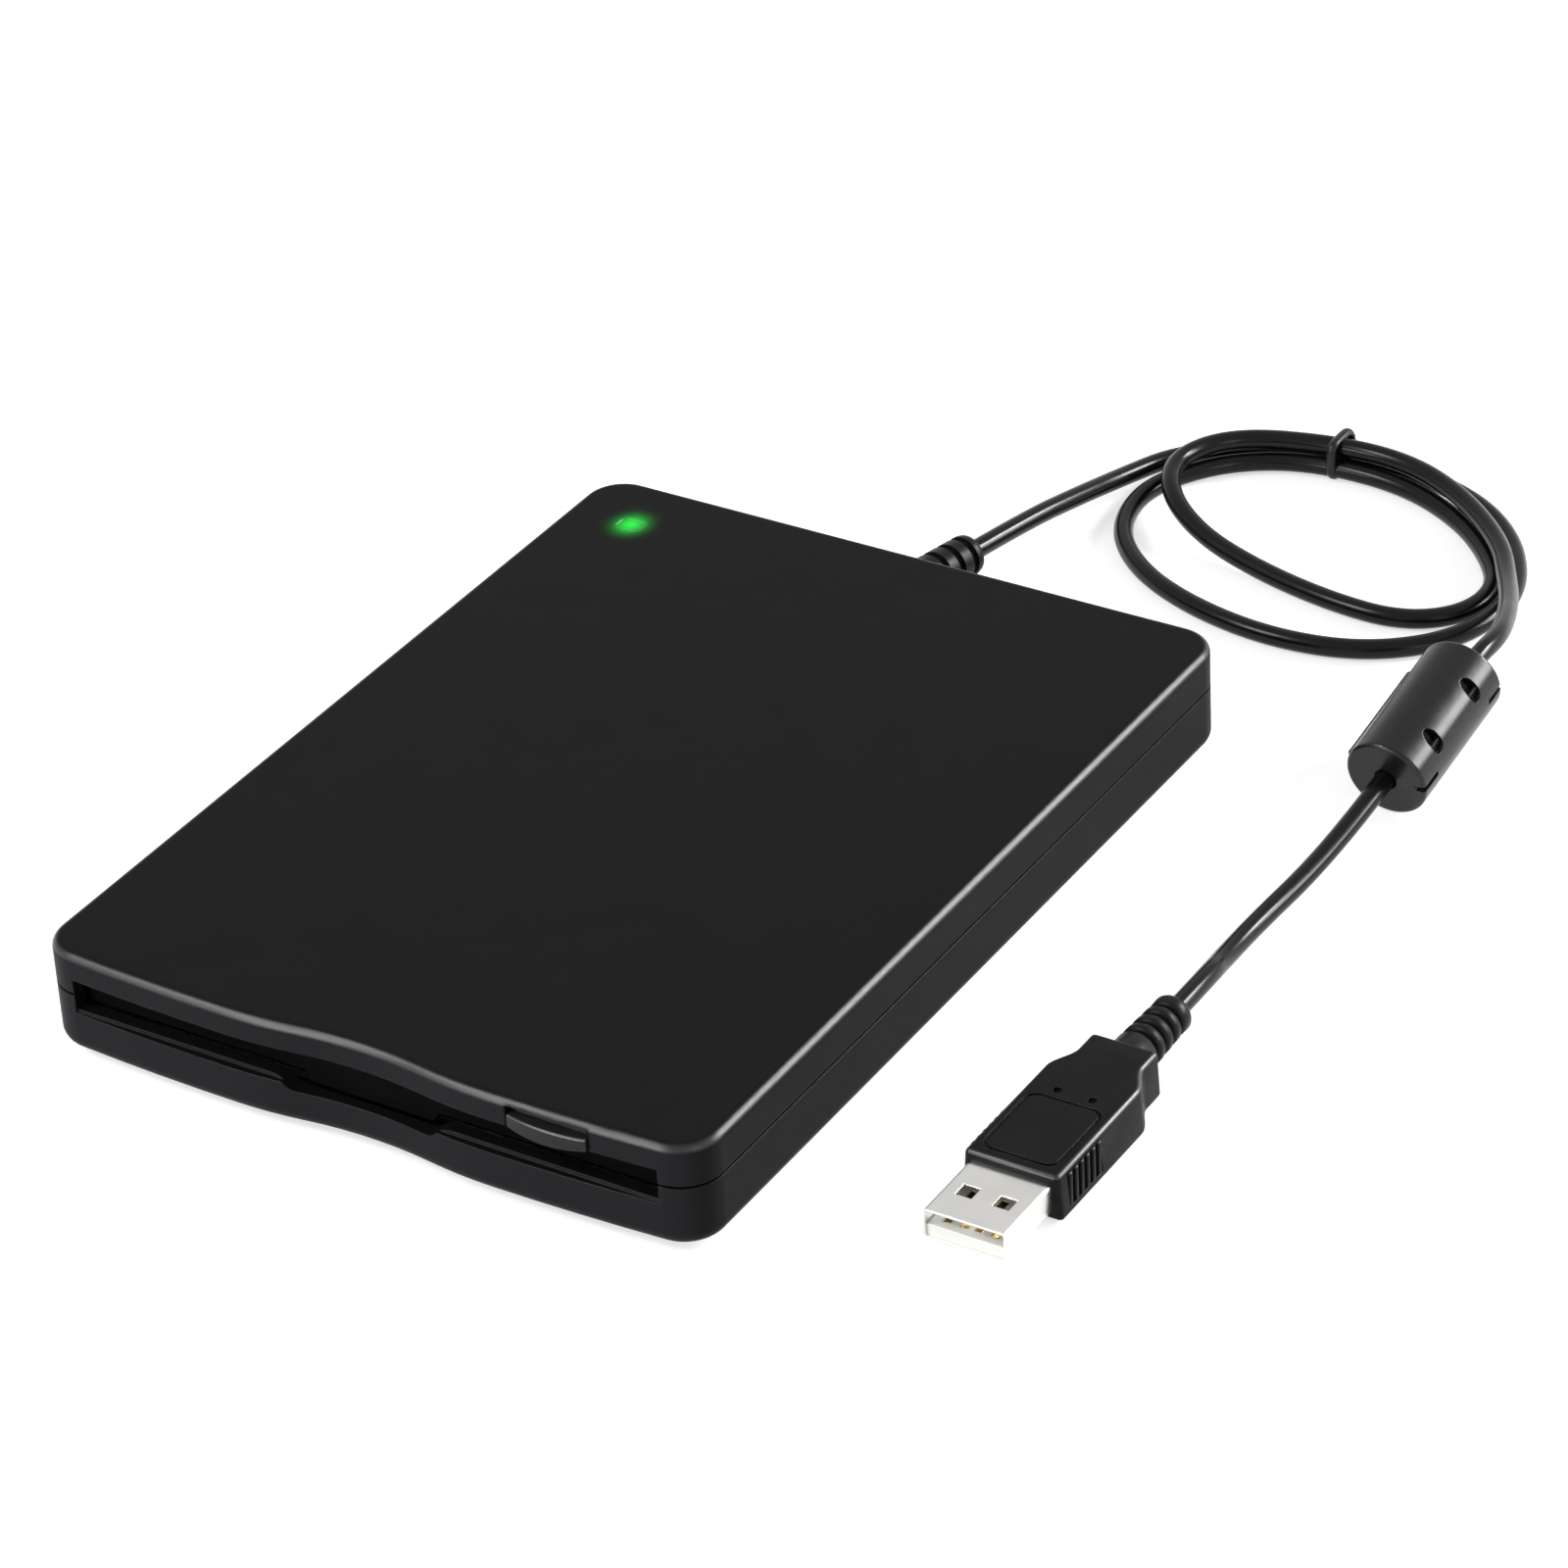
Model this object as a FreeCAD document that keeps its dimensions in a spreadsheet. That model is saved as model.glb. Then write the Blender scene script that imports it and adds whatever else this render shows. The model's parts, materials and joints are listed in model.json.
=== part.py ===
import FreeCAD, Part
import math
import os

import Sketcher
from FreeCAD import Placement, Rotation, Vector

# A slim external floppy disk drive: a two-part plastic case around a sheet-metal
# mechanism, with a tied cable that carries a ferrite clamp and a flat plug.
#
# Millimetres. The origin is on the table under the middle of the case. +X is to the
# right of someone who faces the disk slot, +Y runs from the slot to the back, +Z is up.

SIZES = [
    # the case
    ("case_wide", 104.0),
    ("case_deep", 143.0),
    ("case_tall", 17.0),
    ("corner_radius", 6.0),
    ("top_edge_radius", 1.2),
    ("bottom_edge_radius", 2.2),
    ("side_wall", 1.8),
    ("front_wall", 3.1),
    ("roof", 1.5),
    ("floor", 1.4),
    ("seam_height", 10.7),
    ("seam_gap", 0.4),
    ("tongue_thick", 0.8),
    ("tongue_tall", 1.2),
    ("tongue_clearance", 0.12),
    ("wave_half", 20.0),
    ("wave_deep", 1.5),
    ("front_bow_radius", 400.0),
    ("slot_flare", 0.5),
    ("slot_bottom", 8.3),
    ("slot_lintel", 2.5),
    ("finger_half", 12.0),
    ("finger_dip", 1.6),
    ("finger_bend", 4.0),
    ("lip_step", 0.5),
    ("lip_step_deep", 1.1),
    ("foot_radius", 5.0),
    ("foot_stand", 1.2),
    ("foot_sunk", 0.5),
    ("foot_in_x", 12.0),
    ("foot_in_y", 13.5),
    ("case_screw_in_x", 5.5),
    ("case_screw_in_y", 6.7),
    ("case_screw_radius", 0.8),
    ("case_screw_head", 2.0),
    ("case_screw_sunk", 3.0),
    ("boss_radius", 2.4),
    ("boss_joint", 8.0),
    ("cut_past", 3.0),
    ("overlap", 0.1),
    # the eject button and the status light
    ("button_wide", 12.0),
    ("button_in", 22.0),
    ("button_tall", 2.3),
    ("button_drop", 2.1),
    ("button_recess", 1.25),
    ("button_stand", 0.8),
    ("button_clearance", 0.25),
    ("button_bulge", 0.5),
    ("button_edge_radius", 0.35),
    ("light_in_x", 11.2),
    ("light_in_y", 11.3),
    ("light_wide", 3.6),
    ("light_deep", 2.4),
    ("light_gap", 0.1),
    ("light_collar", 0.7),
    # the sheet-metal mechanism
    ("sheet", 0.8),
    ("sheet_corner", 2.0),
    ("motor_window_in", 6.0),
    ("motor_window_out", 18.0),
    ("chassis_side_gap", 1.6),
    ("chassis_front_gap", 5.6),
    ("bridge_room", 13.7),
    ("cover_gap", 0.2),
    ("cover_sheet", 0.4),
    ("slider_side_gap", 0.6),
    ("slider_sheet", 0.5),
    ("slider_flange", 0.6),
    ("slider_gap", 0.2),
    ("eject_travel", 5.0),
    ("holder_drop", 2.0),
    ("holder_sheet", 0.5),
    ("holder_side", 0.6),
    ("holder_side_gap", 0.5),
    ("disk_bottom", 8.5),
    ("holder_top_gap", 0.5),
    ("ledge_wide", 3.0),
    ("holder_in", 2.0),
    ("holder_behind", 32.0),
    ("pin_radius", 0.9),
    ("pin_clearance", 0.1),
    ("front_pin_in", 12.0),
    ("back_pin_in", 16.0),
    ("pin_drop", 2.2),
    # the dust flap
    ("flap_thick", 0.6),
    ("flap_pin_radius", 0.6),
    ("flap_pin_above", 0.4),
    ("flap_gap", 0.5),
    ("running_clearance", 0.05),
    # the spindle motor
    ("track_radius", 39.5),
    ("shaft_radius", 2.0),
    ("rotor_radius", 24.0),
    ("rotor_wall", 0.8),
    ("rotor_bottom", 4.5),
    ("rotor_top", 6.2),
    ("rotor_plate", 0.5),
    ("hub_radius", 12.5),
    ("hub_top", 7.6),
    ("spindle_tip", 8.5),
    ("drive_pin_radius", 0.9),
    ("drive_pin_offset", 9.0),
    ("board_thick", 0.8),
    ("bearing_radius", 5.0),
    ("pole_count", 12),
    ("pole_wide", 1.6),
    ("coil_wide", 3.2),
    ("motor_board_past", 3.0),
    ("motor_board_corner", 8.0),
    # the heads and their drive
    ("head_in", 4.5),
    ("head_long", 5.0),
    ("head_wide", 6.0),
    ("head_travel", 14.8),
    ("lower_head_top", 8.15),
    ("upper_head_rise", 0.2),
    ("upper_head_thick", 0.6),
    ("rod_radius", 1.0),
    ("rod_x", 13.0),
    ("rod_height", 5.0),
    ("rod_before", 13.5),
    ("rod_end_gap", 1.5),
    ("bore_clearance", 0.06),
    ("carriage_behind", 4.5),
    ("carriage_long", 23.0),
    ("carriage_bottom", 3.55),
    ("carriage_top", 6.45),
    ("arm_pivot_in", 2.0),
    ("arm_barrel_radius", 1.0),
    ("arm_half", 5.0),
    ("arm_sheet", 0.7),
    ("arm_pin_radius", 0.5),
    ("screw_radius", 1.2),
    ("screw_x", 24.0),
    ("screw_height", 7.4),
    ("motor_radius", 4.0),
    ("motor_long", 9.0),
    ("motor_end_gap", 0.5),
    ("bracket_half", 5.0),
    ("bracket_foot_half", 2.0),
    ("bracket_ear", 0.5),
    ("bracket_long", 19.1),
    ("screw_tail", 3.8),
    # the shutter lever
    ("lever_x", -24.0),
    ("lever_behind", 7.0),
    ("lever_long", 14.0),
    ("lever_pin_radius", 1.0),
    ("lever_thick", 0.7),
    ("lever_drop", 1.2),
    ("lever_tip_bottom", 9.4),
    ("lever_turn", 15.0),
    # switches, springs and boards
    ("switch_in", 7.5),
    ("switch_size", 6.0),
    ("switch_tall", 2.2),
    ("plunger_radius", 0.8),
    ("plunger_top", 7.6),
    ("spring_in", 3.2),
    ("spring_radius", 1.5),
    ("spring_wire", 0.4),
    ("spring_drop", 2.6),
    ("spring_long", 17.0),
    ("spring_behind", 10.0),
    ("spring_post_radius", 1.0),
    ("spring_post_gap", 1.2),
    ("board_side_gap", 7.6),
    ("board_gap", 3.0),
    ("board_behind", 8.0),
    ("board_back_gap", 2.0),
    ("board_lift", 1.0),
    ("board_post_radius", 1.2),
    ("board_post_in", 2.0),
    ("bridge_low", 5.0),
    ("bridge_gap", 1.5),
    ("bridge_end_gap", 1.2),
    ("bridge_side_gap", 1.1),
    # the cable, its clamp and its plug
    ("cord_radius", 1.5),
    ("boot_x", -3.0),
    ("boot_height", 8.4),
    ("boot_root_radius", 3.4),
    ("boot_tip_radius", 3.2),
    ("boot_tip_round", 1.2),
    ("boot_long", 17.7),
    ("boot_ring_count", 5),
    ("boot_neck_wide", 5.0),
    ("boot_groove", 0.7),
    ("clamp_radius", 6.2),
    ("clamp_long", 23.6),
    ("clamp_wall", 1.6),
    ("clamp_end_wall", 2.6),
    ("clamp_end_round", 0.6),
    ("clamp_bore", 1.7),
    ("clamp_gap", 0.1),
    ("clamp_notch_long", 4.0),
    ("clamp_notch_tall", 0.9),
    ("latch_wide", 2.5),
    ("latch_low", 2.1),
    ("latch_high", 5.2),
    ("latch_thick", 0.4),
    ("latch_tip", 3.5),
    ("knuckle_radius", 0.8),
    ("knuckle_long", 8.0),
    ("knuckle_pin_radius", 0.35),
    ("core_clearance", 0.1),
    ("core_lift", 0.02),
    ("plug_x", 80.8),
    ("plug_height", 4.0),
    ("plug_wide", 15.2),
    ("plug_tall", 7.8),
    ("plug_neck_wide", 10.8),
    ("plug_back", -11.0),
    ("plug_shoulder", -18.5),
    ("plug_front", -41.5),
    ("plug_shell_long", 12.0),
    ("plug_shell_wide", 12.0),
    ("plug_shell_tall", 4.5),
    ("plug_shell_wall", 0.3),
    ("plug_shell_corner", 0.6),
    ("plug_edge_radius", 1.6),
    ("plug_panel_corner", 3.5),
    ("plug_panel_rise", 0.25),
    ("plug_rib_count", 6),
    ("plug_rib_pitch", 1.5),
    ("plug_rib_wide", 0.7),
    ("plug_rib_deep", 0.4),
    ("plug_dimple", 0.6),
    ("plug_boot_end", 5.0),
    ("plug_boot_radius", 3.3),
    ("tie_wire", 0.4),
    ("tie_x", 31.0),
    ("tie_y", 146.95),
    ("tie_wide", 7.6),
    ("tie_tall", 6.95),
    ("tie_band", 1.2),
    ("tie_corner", 1.6),
]

doc = FreeCAD.newDocument("floppy_drive")
sheet = doc.addObject("Spreadsheet::Sheet", "Sizes")


def formula(number):
    """The sheet formula of a size, or a plain number as text."""
    return number.formula if isinstance(number, Size) else repr(float(number))


class Size(float):
    """A number that remembers the sheet formula it is worked out from."""

    def __new__(cls, value, text):
        size = float.__new__(cls, value)
        size.formula = text
        return size

    def __add__(self, other):
        return Size(float(self) + float(other), f"({self.formula} + {formula(other)})")

    def __radd__(self, other):
        return Size(float(other) + float(self), f"({formula(other)} + {self.formula})")

    def __sub__(self, other):
        return Size(float(self) - float(other), f"({self.formula} - {formula(other)})")

    def __rsub__(self, other):
        return Size(float(other) - float(self), f"({formula(other)} - {self.formula})")

    def __mul__(self, other):
        return Size(float(self) * float(other), f"({self.formula} * {formula(other)})")

    def __rmul__(self, other):
        return Size(float(other) * float(self), f"({formula(other)} * {self.formula})")

    def __truediv__(self, other):
        return Size(float(self) / float(other), f"({self.formula} / {formula(other)})")

    def __neg__(self):
        return Size(-float(self), f"(0 - {self.formula})")


def root(size):
    return Size(math.sqrt(size), f"sqrt({size.formula})")


class Driving:
    """The driving sizes, each under its own name."""


size = Driving()
for row, (name, value) in enumerate(SIZES, start=1):
    sheet.set(f"A{row}", name)
    sheet.set(f"B{row}", str(value))
    sheet.setAlias(f"B{row}", name)
    setattr(size, name, Size(value, f"Sizes.{name}"))
zero = Size(0, "0")
doc.recompute()

nodes = []


# ---------------------------------------------------------------- helpers

def bind(thing, place, number):
    thing.setExpression(place, formula(number))


def node(thing):
    """Mark an object as a finished sub-part that gets a file of its own."""
    nodes.append(thing)
    return thing


def place(thing, x, y, z, turn=None):
    """Put a sub-part at a point, turned by a rotation."""
    thing.Placement = Placement(Vector(x, y, z), turn or Rotation())
    bind(thing, ".Placement.Base.x", x)
    bind(thing, ".Placement.Base.y", y)
    bind(thing, ".Placement.Base.z", z)
    return thing


def box(name, low_x, high_x, low_y, high_y, low_z, high_z):
    made = doc.addObject("Part::Box", name)
    bind(made, "Length", high_x - low_x)
    bind(made, "Width", high_y - low_y)
    bind(made, "Height", high_z - low_z)
    return place(made, low_x, low_y, low_z)


TURNS = {
    "X": Rotation(Vector(0, 1, 0), 90),
    "Y": Rotation(Vector(1, 0, 0), -90),
    "Z": Rotation(),
}


def rod(name, axis, radius, start, x, y, z):
    """A cylinder along an axis from start, its first coordinate there, to its last."""
    made = doc.addObject("Part::Cylinder", name)
    bind(made, "Radius", radius)
    base = {"X": x, "Y": y, "Z": z}
    bind(made, "Height", base[axis] - start)
    base[axis] = start
    return place(made, base["X"], base["Y"], base["Z"], TURNS[axis])


def cut(name, base, *tools):
    made = doc.addObject("Part::Cut", name)
    made.Base = base
    made.Tool = tools[0] if len(tools) == 1 else joined(name + "_tools", *tools)
    return made


def joined(name, *pieces):
    made = doc.addObject("Part::MultiFuse", name)
    made.Shapes = list(pieces)
    return made


def group(name, *pieces):
    """Like pieces that stay separate solids in one sub-part."""
    made = doc.addObject("Part::Compound", name)
    made.Links = list(pieces)
    return made


def new_body(name):
    return doc.addObject("PartDesign::Body", name)


def rect(low_x, high_x, low_y, high_y):
    return [(low_x, low_y), (high_x, low_y), (high_x, high_y), (low_x, high_y)]


def round_rect(low_x, high_x, low_y, high_y, radius):
    return [
        (low_x + radius, low_y),
        (high_x - radius, low_y, radius, 1),
        (high_x, low_y + radius),
        (high_x, high_y - radius, radius, 1),
        (high_x - radius, high_y),
        (low_x + radius, high_y, radius, 1),
        (low_x, high_y - radius),
        (low_x, low_y + radius, radius, 1),
    ]


def ring(x, y, radius):
    return ("ring", x, y, radius)


def draw_ring(sketch, x, y, radius):
    circle = Part.Circle(Vector(x, y, 0), Vector(0, 0, 1), float(radius))
    at = sketch.addGeometry(circle)
    rules = (("DistanceX", (3, float(x)), x), ("DistanceY", (3, float(y)), y))
    for kind, rule, number in rules:
        index = sketch.addConstraint(Sketcher.Constraint(kind, at, *rule))
        bind(sketch, f"Constraints[{index}]", number)
    index = sketch.addConstraint(Sketcher.Constraint("Radius", at, float(radius)))
    bind(sketch, f"Constraints[{index}]", radius)


def arc_between(start, end, radius, side):
    """The short arc between two points whose centre is to the left (1) or right (-1)."""
    chord = end - start
    half = chord.Length / 2
    reach = math.sqrt(max(radius * radius - half * half, 0))
    left = Vector(-chord.y, chord.x, 0).normalize()
    centre = start + chord / 2 + left * reach * side
    first, last = (start, end) if side > 0 else (end, start)
    low = math.atan2(first.y - centre.y, first.x - centre.x)
    high = math.atan2(last.y - centre.y, last.x - centre.x)
    return Part.ArcOfCircle(Part.Circle(centre, Vector(0, 0, 1), float(radius)), low, high)


def draw_path(sketch, corners):
    """A closed outline. A corner with a radius and a side starts an arc."""
    first = sketch.GeometryCount
    count = len(corners)
    ends = []
    for index, corner in enumerate(corners):
        after = corners[(index + 1) % count]
        start = Vector(corner[0], corner[1], 0)
        end = Vector(after[0], after[1], 0)
        if len(corner) == 2:
            sketch.addGeometry(Part.LineSegment(start, end))
            ends.append((1, 2))
        else:
            sketch.addGeometry(arc_between(start, end, corner[2], corner[3]))
            ends.append((1, 2) if corner[3] > 0 else (2, 1))
    for index, corner in enumerate(corners):
        after = (index + 1) % count
        at = first + index
        sketch.addConstraint(
            Sketcher.Constraint("Coincident", at, ends[index][1], first + after, ends[after][0]))
        for kind, number in (("DistanceX", corner[0]), ("DistanceY", corner[1])):
            rule = Sketcher.Constraint(kind, at, ends[index][0], float(number))
            bind(sketch, f"Constraints[{sketch.addConstraint(rule)}]", number)
        if len(corner) == 4:
            rule = Sketcher.Constraint("Radius", at, float(corner[2]))
            bind(sketch, f"Constraints[{sketch.addConstraint(rule)}]", corner[2])


def profile(body, plane, offset, loops):
    """A sketch on one of the body's own planes, moved along its normal."""
    sketch = body.newObject("Sketcher::SketchObject", body.Name + "_profile")
    support = [part for part in body.Origin.OriginFeatures if part.Role == plane + "_Plane"]
    sketch.AttachmentSupport = [(support[0], "")]
    sketch.MapMode = "FlatFace"
    bind(sketch, ".AttachmentOffset.Base.z", offset)
    for loop in loops:
        if loop[0] == "ring":
            draw_ring(sketch, *loop[1:])
        else:
            draw_path(sketch, loop)
    return sketch


def pad(body, plane, start, stop, *loops):
    """Add material between two heights on the plane's own axis."""
    offset = -1 * stop if plane == "XZ" else start
    made = body.newObject("PartDesign::Pad", body.Name + "_pad")
    made.Profile = profile(body, plane, offset, loops)
    bind(made, "Length", stop - start)
    body.Tip = made
    return made


def pocket(body, plane, start, stop, *loops):
    """Remove material between two heights on the plane's own axis."""
    offset = -1 * start if plane == "XZ" else stop
    made = body.newObject("PartDesign::Pocket", body.Name + "_pocket")
    made.Profile = profile(body, plane, offset, loops)
    bind(made, "Length", stop - start)
    body.Tip = made
    return made


def spin(body, outline):
    """Turn an outline of radius and height around the body's own Z axis."""
    made = body.newObject("PartDesign::Revolution", body.Name + "_turned")
    sketch = profile(body, "XZ", zero, [outline])
    made.Profile = sketch
    made.ReferenceAxis = (sketch, ["V_Axis"])
    made.Angle = 360
    body.Tip = made
    return made


def round_edges(body, radius, wanted, kind="Fillet"):
    """Fillet or chamfer the edges of the body for which wanted(edge) holds."""
    doc.recompute()
    base = body.Tip
    names = [f"Edge{i}" for i, edge in enumerate(base.Shape.Edges, start=1) if wanted(edge)]
    made = body.newObject("PartDesign::" + kind, body.Name + "_edges")
    made.Base = (base, names)
    bind(made, "Radius" if kind == "Fillet" else "Size", radius)
    body.Tip = made
    return made


def upright(edge):
    """Whether an edge is a straight one along Z."""
    box_of_edge = edge.BoundBox
    return box_of_edge.ZLength > 1 and max(box_of_edge.XLength, box_of_edge.YLength) < 0.01


def near(value, target):
    return abs(value - target) < 0.01


# ---------------------------------------------------------------- shared places

half_wide = size.case_wide / 2
back = size.case_deep / 2
front = size.button_stand - size.case_deep / 2
inner_half = half_wide - size.side_wall
inner_front = front + size.front_wall
inner_back = back - size.side_wall
inner_radius = size.corner_radius - size.side_wall
case_bottom = size.foot_stand
floor_top = case_bottom + size.floor
roof_bottom = size.case_tall - size.roof
seam_low = size.seam_height - size.seam_gap / 2
seam_high = size.seam_height + size.seam_gap / 2
foot_x = half_wide - size.foot_in_x
foot_y = back - size.foot_in_y
screw_boss_x = half_wide - size.case_screw_in_x
screw_boss_y = back - size.case_screw_in_y
slot_top = roof_bottom - size.slot_lintel
past = size.cut_past
bite = size.overlap

button_x = half_wide - size.button_in
button_top = size.case_tall - size.button_drop
button_bottom = button_top - size.button_tall
light_x = size.light_in_x - half_wide
light_y = back - size.light_in_y

chassis_half = inner_half - size.chassis_side_gap
chassis_front = inner_front + size.chassis_front_gap
chassis_back = inner_back - size.bridge_room
base_top = floor_top + size.sheet
chassis_top = roof_bottom - size.cover_gap - size.cover_sheet
slider_half = chassis_half - size.sheet - size.slider_side_gap
slider_top = chassis_top - size.slider_gap
slider_low = slider_top - size.slider_sheet
holder_outer = slider_half - size.slider_flange - size.holder_side_gap
holder_inner = holder_outer - size.holder_side
holder_top = slider_low - size.holder_top_gap
holder_ceiling = holder_top - size.holder_sheet
holder_front = chassis_front + size.holder_in
holder_back = chassis_back - size.holder_behind
front_pin_y = holder_front + size.front_pin_in
back_pin_y = holder_back - size.back_pin_in
pin_height = holder_ceiling - size.pin_drop
slot_half = holder_inner + size.slot_flare
flap_pin_height = slot_top + size.flap_pin_above

head_y = holder_back - size.head_in
spindle_y = head_y - size.track_radius
upper_head_bottom = holder_ceiling - size.upper_head_rise
arm_pivot_height = upper_head_bottom + size.upper_head_thick
carriage_front = head_y + size.carriage_behind
carriage_back = carriage_front + size.carriage_long
carriage_half = size.rod_x + size.rod_radius + 2
arm_pivot_y = carriage_back - size.arm_pivot_in
rod_front = head_y - size.rod_before
rod_back = chassis_back - size.rod_end_gap
motor_front = chassis_back - size.motor_end_gap - size.motor_long
lever_y = holder_back + size.lever_behind
lever_bottom = holder_ceiling - size.lever_drop
switch_x = holder_inner - size.switch_in
spring_x = slider_half - size.spring_in
spring_height = slider_low - size.spring_drop
spring_back = chassis_back - size.spring_behind
spring_front = spring_back - size.spring_long
bridge_half = screw_boss_x - size.boss_radius - size.bridge_side_gap
bridge_front = chassis_back + size.bridge_gap
bridge_back = inner_back - size.bridge_end_gap


def case_outline():
    """The plan of the case: three straight sides and a front with a shallow wave."""
    half = size.wave_half
    deep = size.wave_deep
    bend = (half * half + deep * deep) / (4 * deep)
    bow = size.front_bow_radius
    run = half_wide - half
    corner_y = front + bow - root(bow * bow - run * run)
    middle_y = front + deep / 2
    return [
        (-half_wide, corner_y, bow, 1),
        (-half, front, bend, 1),
        (-half / 2, middle_y, bend, -1),
        (half / 2, middle_y, bend, 1),
        (half, front, bow, 1),
        (half_wide, corner_y),
        (half_wide, back),
        (-half_wide, back),
    ]


def is_corner(edge):
    """Whether an edge is one of the case's four upright corners."""
    middle = edge.BoundBox.Center
    return upright(edge) and near(abs(middle.x), half_wide)


def cavity(grow=zero):
    return round_rect(-inner_half - grow, inner_half + grow, inner_front - grow,
                      inner_back + grow, inner_radius + grow)


# ---------------------------------------------------------------- the case

def make_top_shell():
    body = new_body("top_shell")
    pad(body, "XY", seam_high, size.case_tall, case_outline())
    round_edges(body, size.corner_radius, is_corner)
    round_edges(body, size.top_edge_radius,
                lambda edge: near(edge.BoundBox.ZMin, size.case_tall))
    pocket(body, "XY", seam_high, roof_bottom, cavity())
    rebate = size.tongue_thick + size.tongue_clearance
    pocket(body, "XY", seam_high, seam_high + size.tongue_tall + size.tongue_clearance,
           cavity(rebate))
    pocket(body, "XZ", front - past, inner_front + 0.5,
           rect(-slot_half, slot_half, seam_high - past, slot_top))
    gap = size.button_clearance
    window_left = button_x - size.button_wide / 2 - gap
    pocket(body, "XZ", front - past, inner_front + 0.5,
           rect(window_left, window_left + size.button_wide + 2 * gap,
                slot_top - 0.5, button_top + size.button_recess))
    pocket(body, "XY", roof_bottom - 0.5, size.case_tall + 1, light_outline(size.light_gap))
    for side in (-1, 1):
        x = screw_boss_x * side
        pad(body, "XY", size.boss_joint + 0.05, roof_bottom + bite,
            ring(x, screw_boss_y, size.boss_radius))
        pocket(body, "XY", size.boss_joint - 0.5, roof_bottom - 1,
               ring(x, screw_boss_y, size.case_screw_radius + 0.05))
        low_x, high_x = sorted((side * (slot_half + 0.1), side * (slot_half + 1.6)))
        pad(body, "YZ", low_x, high_x,
            rect(inner_front - bite, flap_y + 1.3, flap_pin_height - 1.3, roof_bottom + bite))
        pocket(body, "YZ", low_x, high_x,
               ring(flap_y, flap_pin_height,
                    size.flap_pin_radius + size.running_clearance))
    return node(body)


def light_outline(grow):
    wide = size.light_wide / 2 + grow
    deep = size.light_deep / 2 + grow
    return round_rect(light_x - wide, light_x + wide,
                      light_y - deep, light_y + deep, size.light_deep / 6)


def make_bottom_shell():
    body = new_body("bottom_shell")
    pad(body, "XY", case_bottom, seam_low, case_outline())
    round_edges(body, size.corner_radius, is_corner)
    round_edges(body, size.bottom_edge_radius,
                lambda edge: near(edge.BoundBox.ZMax, case_bottom))
    pocket(body, "XY", floor_top, seam_low, cavity())
    pad(body, "XY", seam_low - 0.5, seam_high + size.tongue_tall,
        cavity(size.tongue_thick), cavity())
    pocket(body, "XZ", front - past, inner_front + 0.5,
           rect(-slot_half, slot_half, size.slot_bottom, slot_top + past))
    pocket(body, "XZ", front - past, inner_front + 0.5, finger_outline())
    pocket(body, "XZ", front - past, front + size.lip_step_deep,
           rect(-slot_half, slot_half, size.slot_bottom - size.lip_step, slot_top))
    neck_half = size.boot_neck_wide / 2 + 0.1
    pocket(body, "XZ", inner_back - past, back + past,
           rect(size.boot_x - neck_half, size.boot_x + neck_half, boot_low - 0.1, slot_top))
    for x in (-foot_x, foot_x):
        for y in (-foot_y, foot_y):
            pocket(body, "XY", case_bottom - 1, case_bottom + size.foot_sunk,
                   ring(x, y, size.foot_radius + 0.1))
    for x in (-screw_boss_x, screw_boss_x):
        pad(body, "XY", floor_top - bite, size.boss_joint, ring(x, screw_boss_y, size.boss_radius))
        pocket(body, "XY", case_bottom - 1, size.boss_joint + 1,
               ring(x, screw_boss_y, size.case_screw_radius + 0.2))
        pocket(body, "XY", case_bottom - 1, screw_seat,
               ring(x, screw_boss_y, size.case_screw_head + 0.1))
    for x in (-bridge_half / 1.5, bridge_half / 1.5):
        pad(body, "XY", floor_top - bite, size.bridge_low,
            ring(x, (bridge_front + bridge_back) / 2, size.boss_radius))
    return node(body)


def finger_outline():
    """The dip in the slot's lower lip, with an S bend at each end."""
    bend = size.finger_bend
    dip = size.finger_dip
    radius = (bend * bend + dip * dip) / (4 * dip)
    outer = size.finger_half + bend / 2
    inner = size.finger_half - bend / 2
    high = size.slot_bottom
    low = high - dip
    return [
        (-outer, high, radius, -1),
        (-size.finger_half, high - dip / 2, radius, 1),
        (-inner, low),
        (inner, low, radius, 1),
        (size.finger_half, high - dip / 2, radius, -1),
        (outer, high),
        (outer, high + 1),
        (-outer, high + 1),
    ]


def make_feet_and_screws():
    feet = []
    screws = []
    for side in (-1, 1):
        for end in (-1, 1):
            feet.append(rod("foot", "Z", size.foot_radius, zero, side * foot_x,
                            end * foot_y, case_bottom + size.foot_sunk))
        x = screw_boss_x * side
        head = rod("screw_head", "Z", size.case_screw_head, screw_seat - 1.2, x,
                   screw_boss_y, screw_seat)
        shank = rod("screw_shank", "Z", size.case_screw_radius, screw_seat - 0.6, x,
                    screw_boss_y, roof_bottom - 1.5)
        driver = rod("screw_driver", "Z", size.case_screw_radius, screw_seat - 1.7, x,
                     screw_boss_y, screw_seat - 0.7)
        screws.append(cut("screw", joined("screw_blank", head, shank), driver))
    node(group("rubber_feet", *feet))
    node(group("case_screws", *screws))


screw_seat = case_bottom + size.case_screw_sunk
boot_low = size.boot_height - size.boot_root_radius + 1.4
flap_y = inner_front + size.flap_gap + size.flap_thick / 2

make_top_shell()
make_bottom_shell()
make_feet_and_screws()


# ---------------------------------------------------------------- the dust flap

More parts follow.
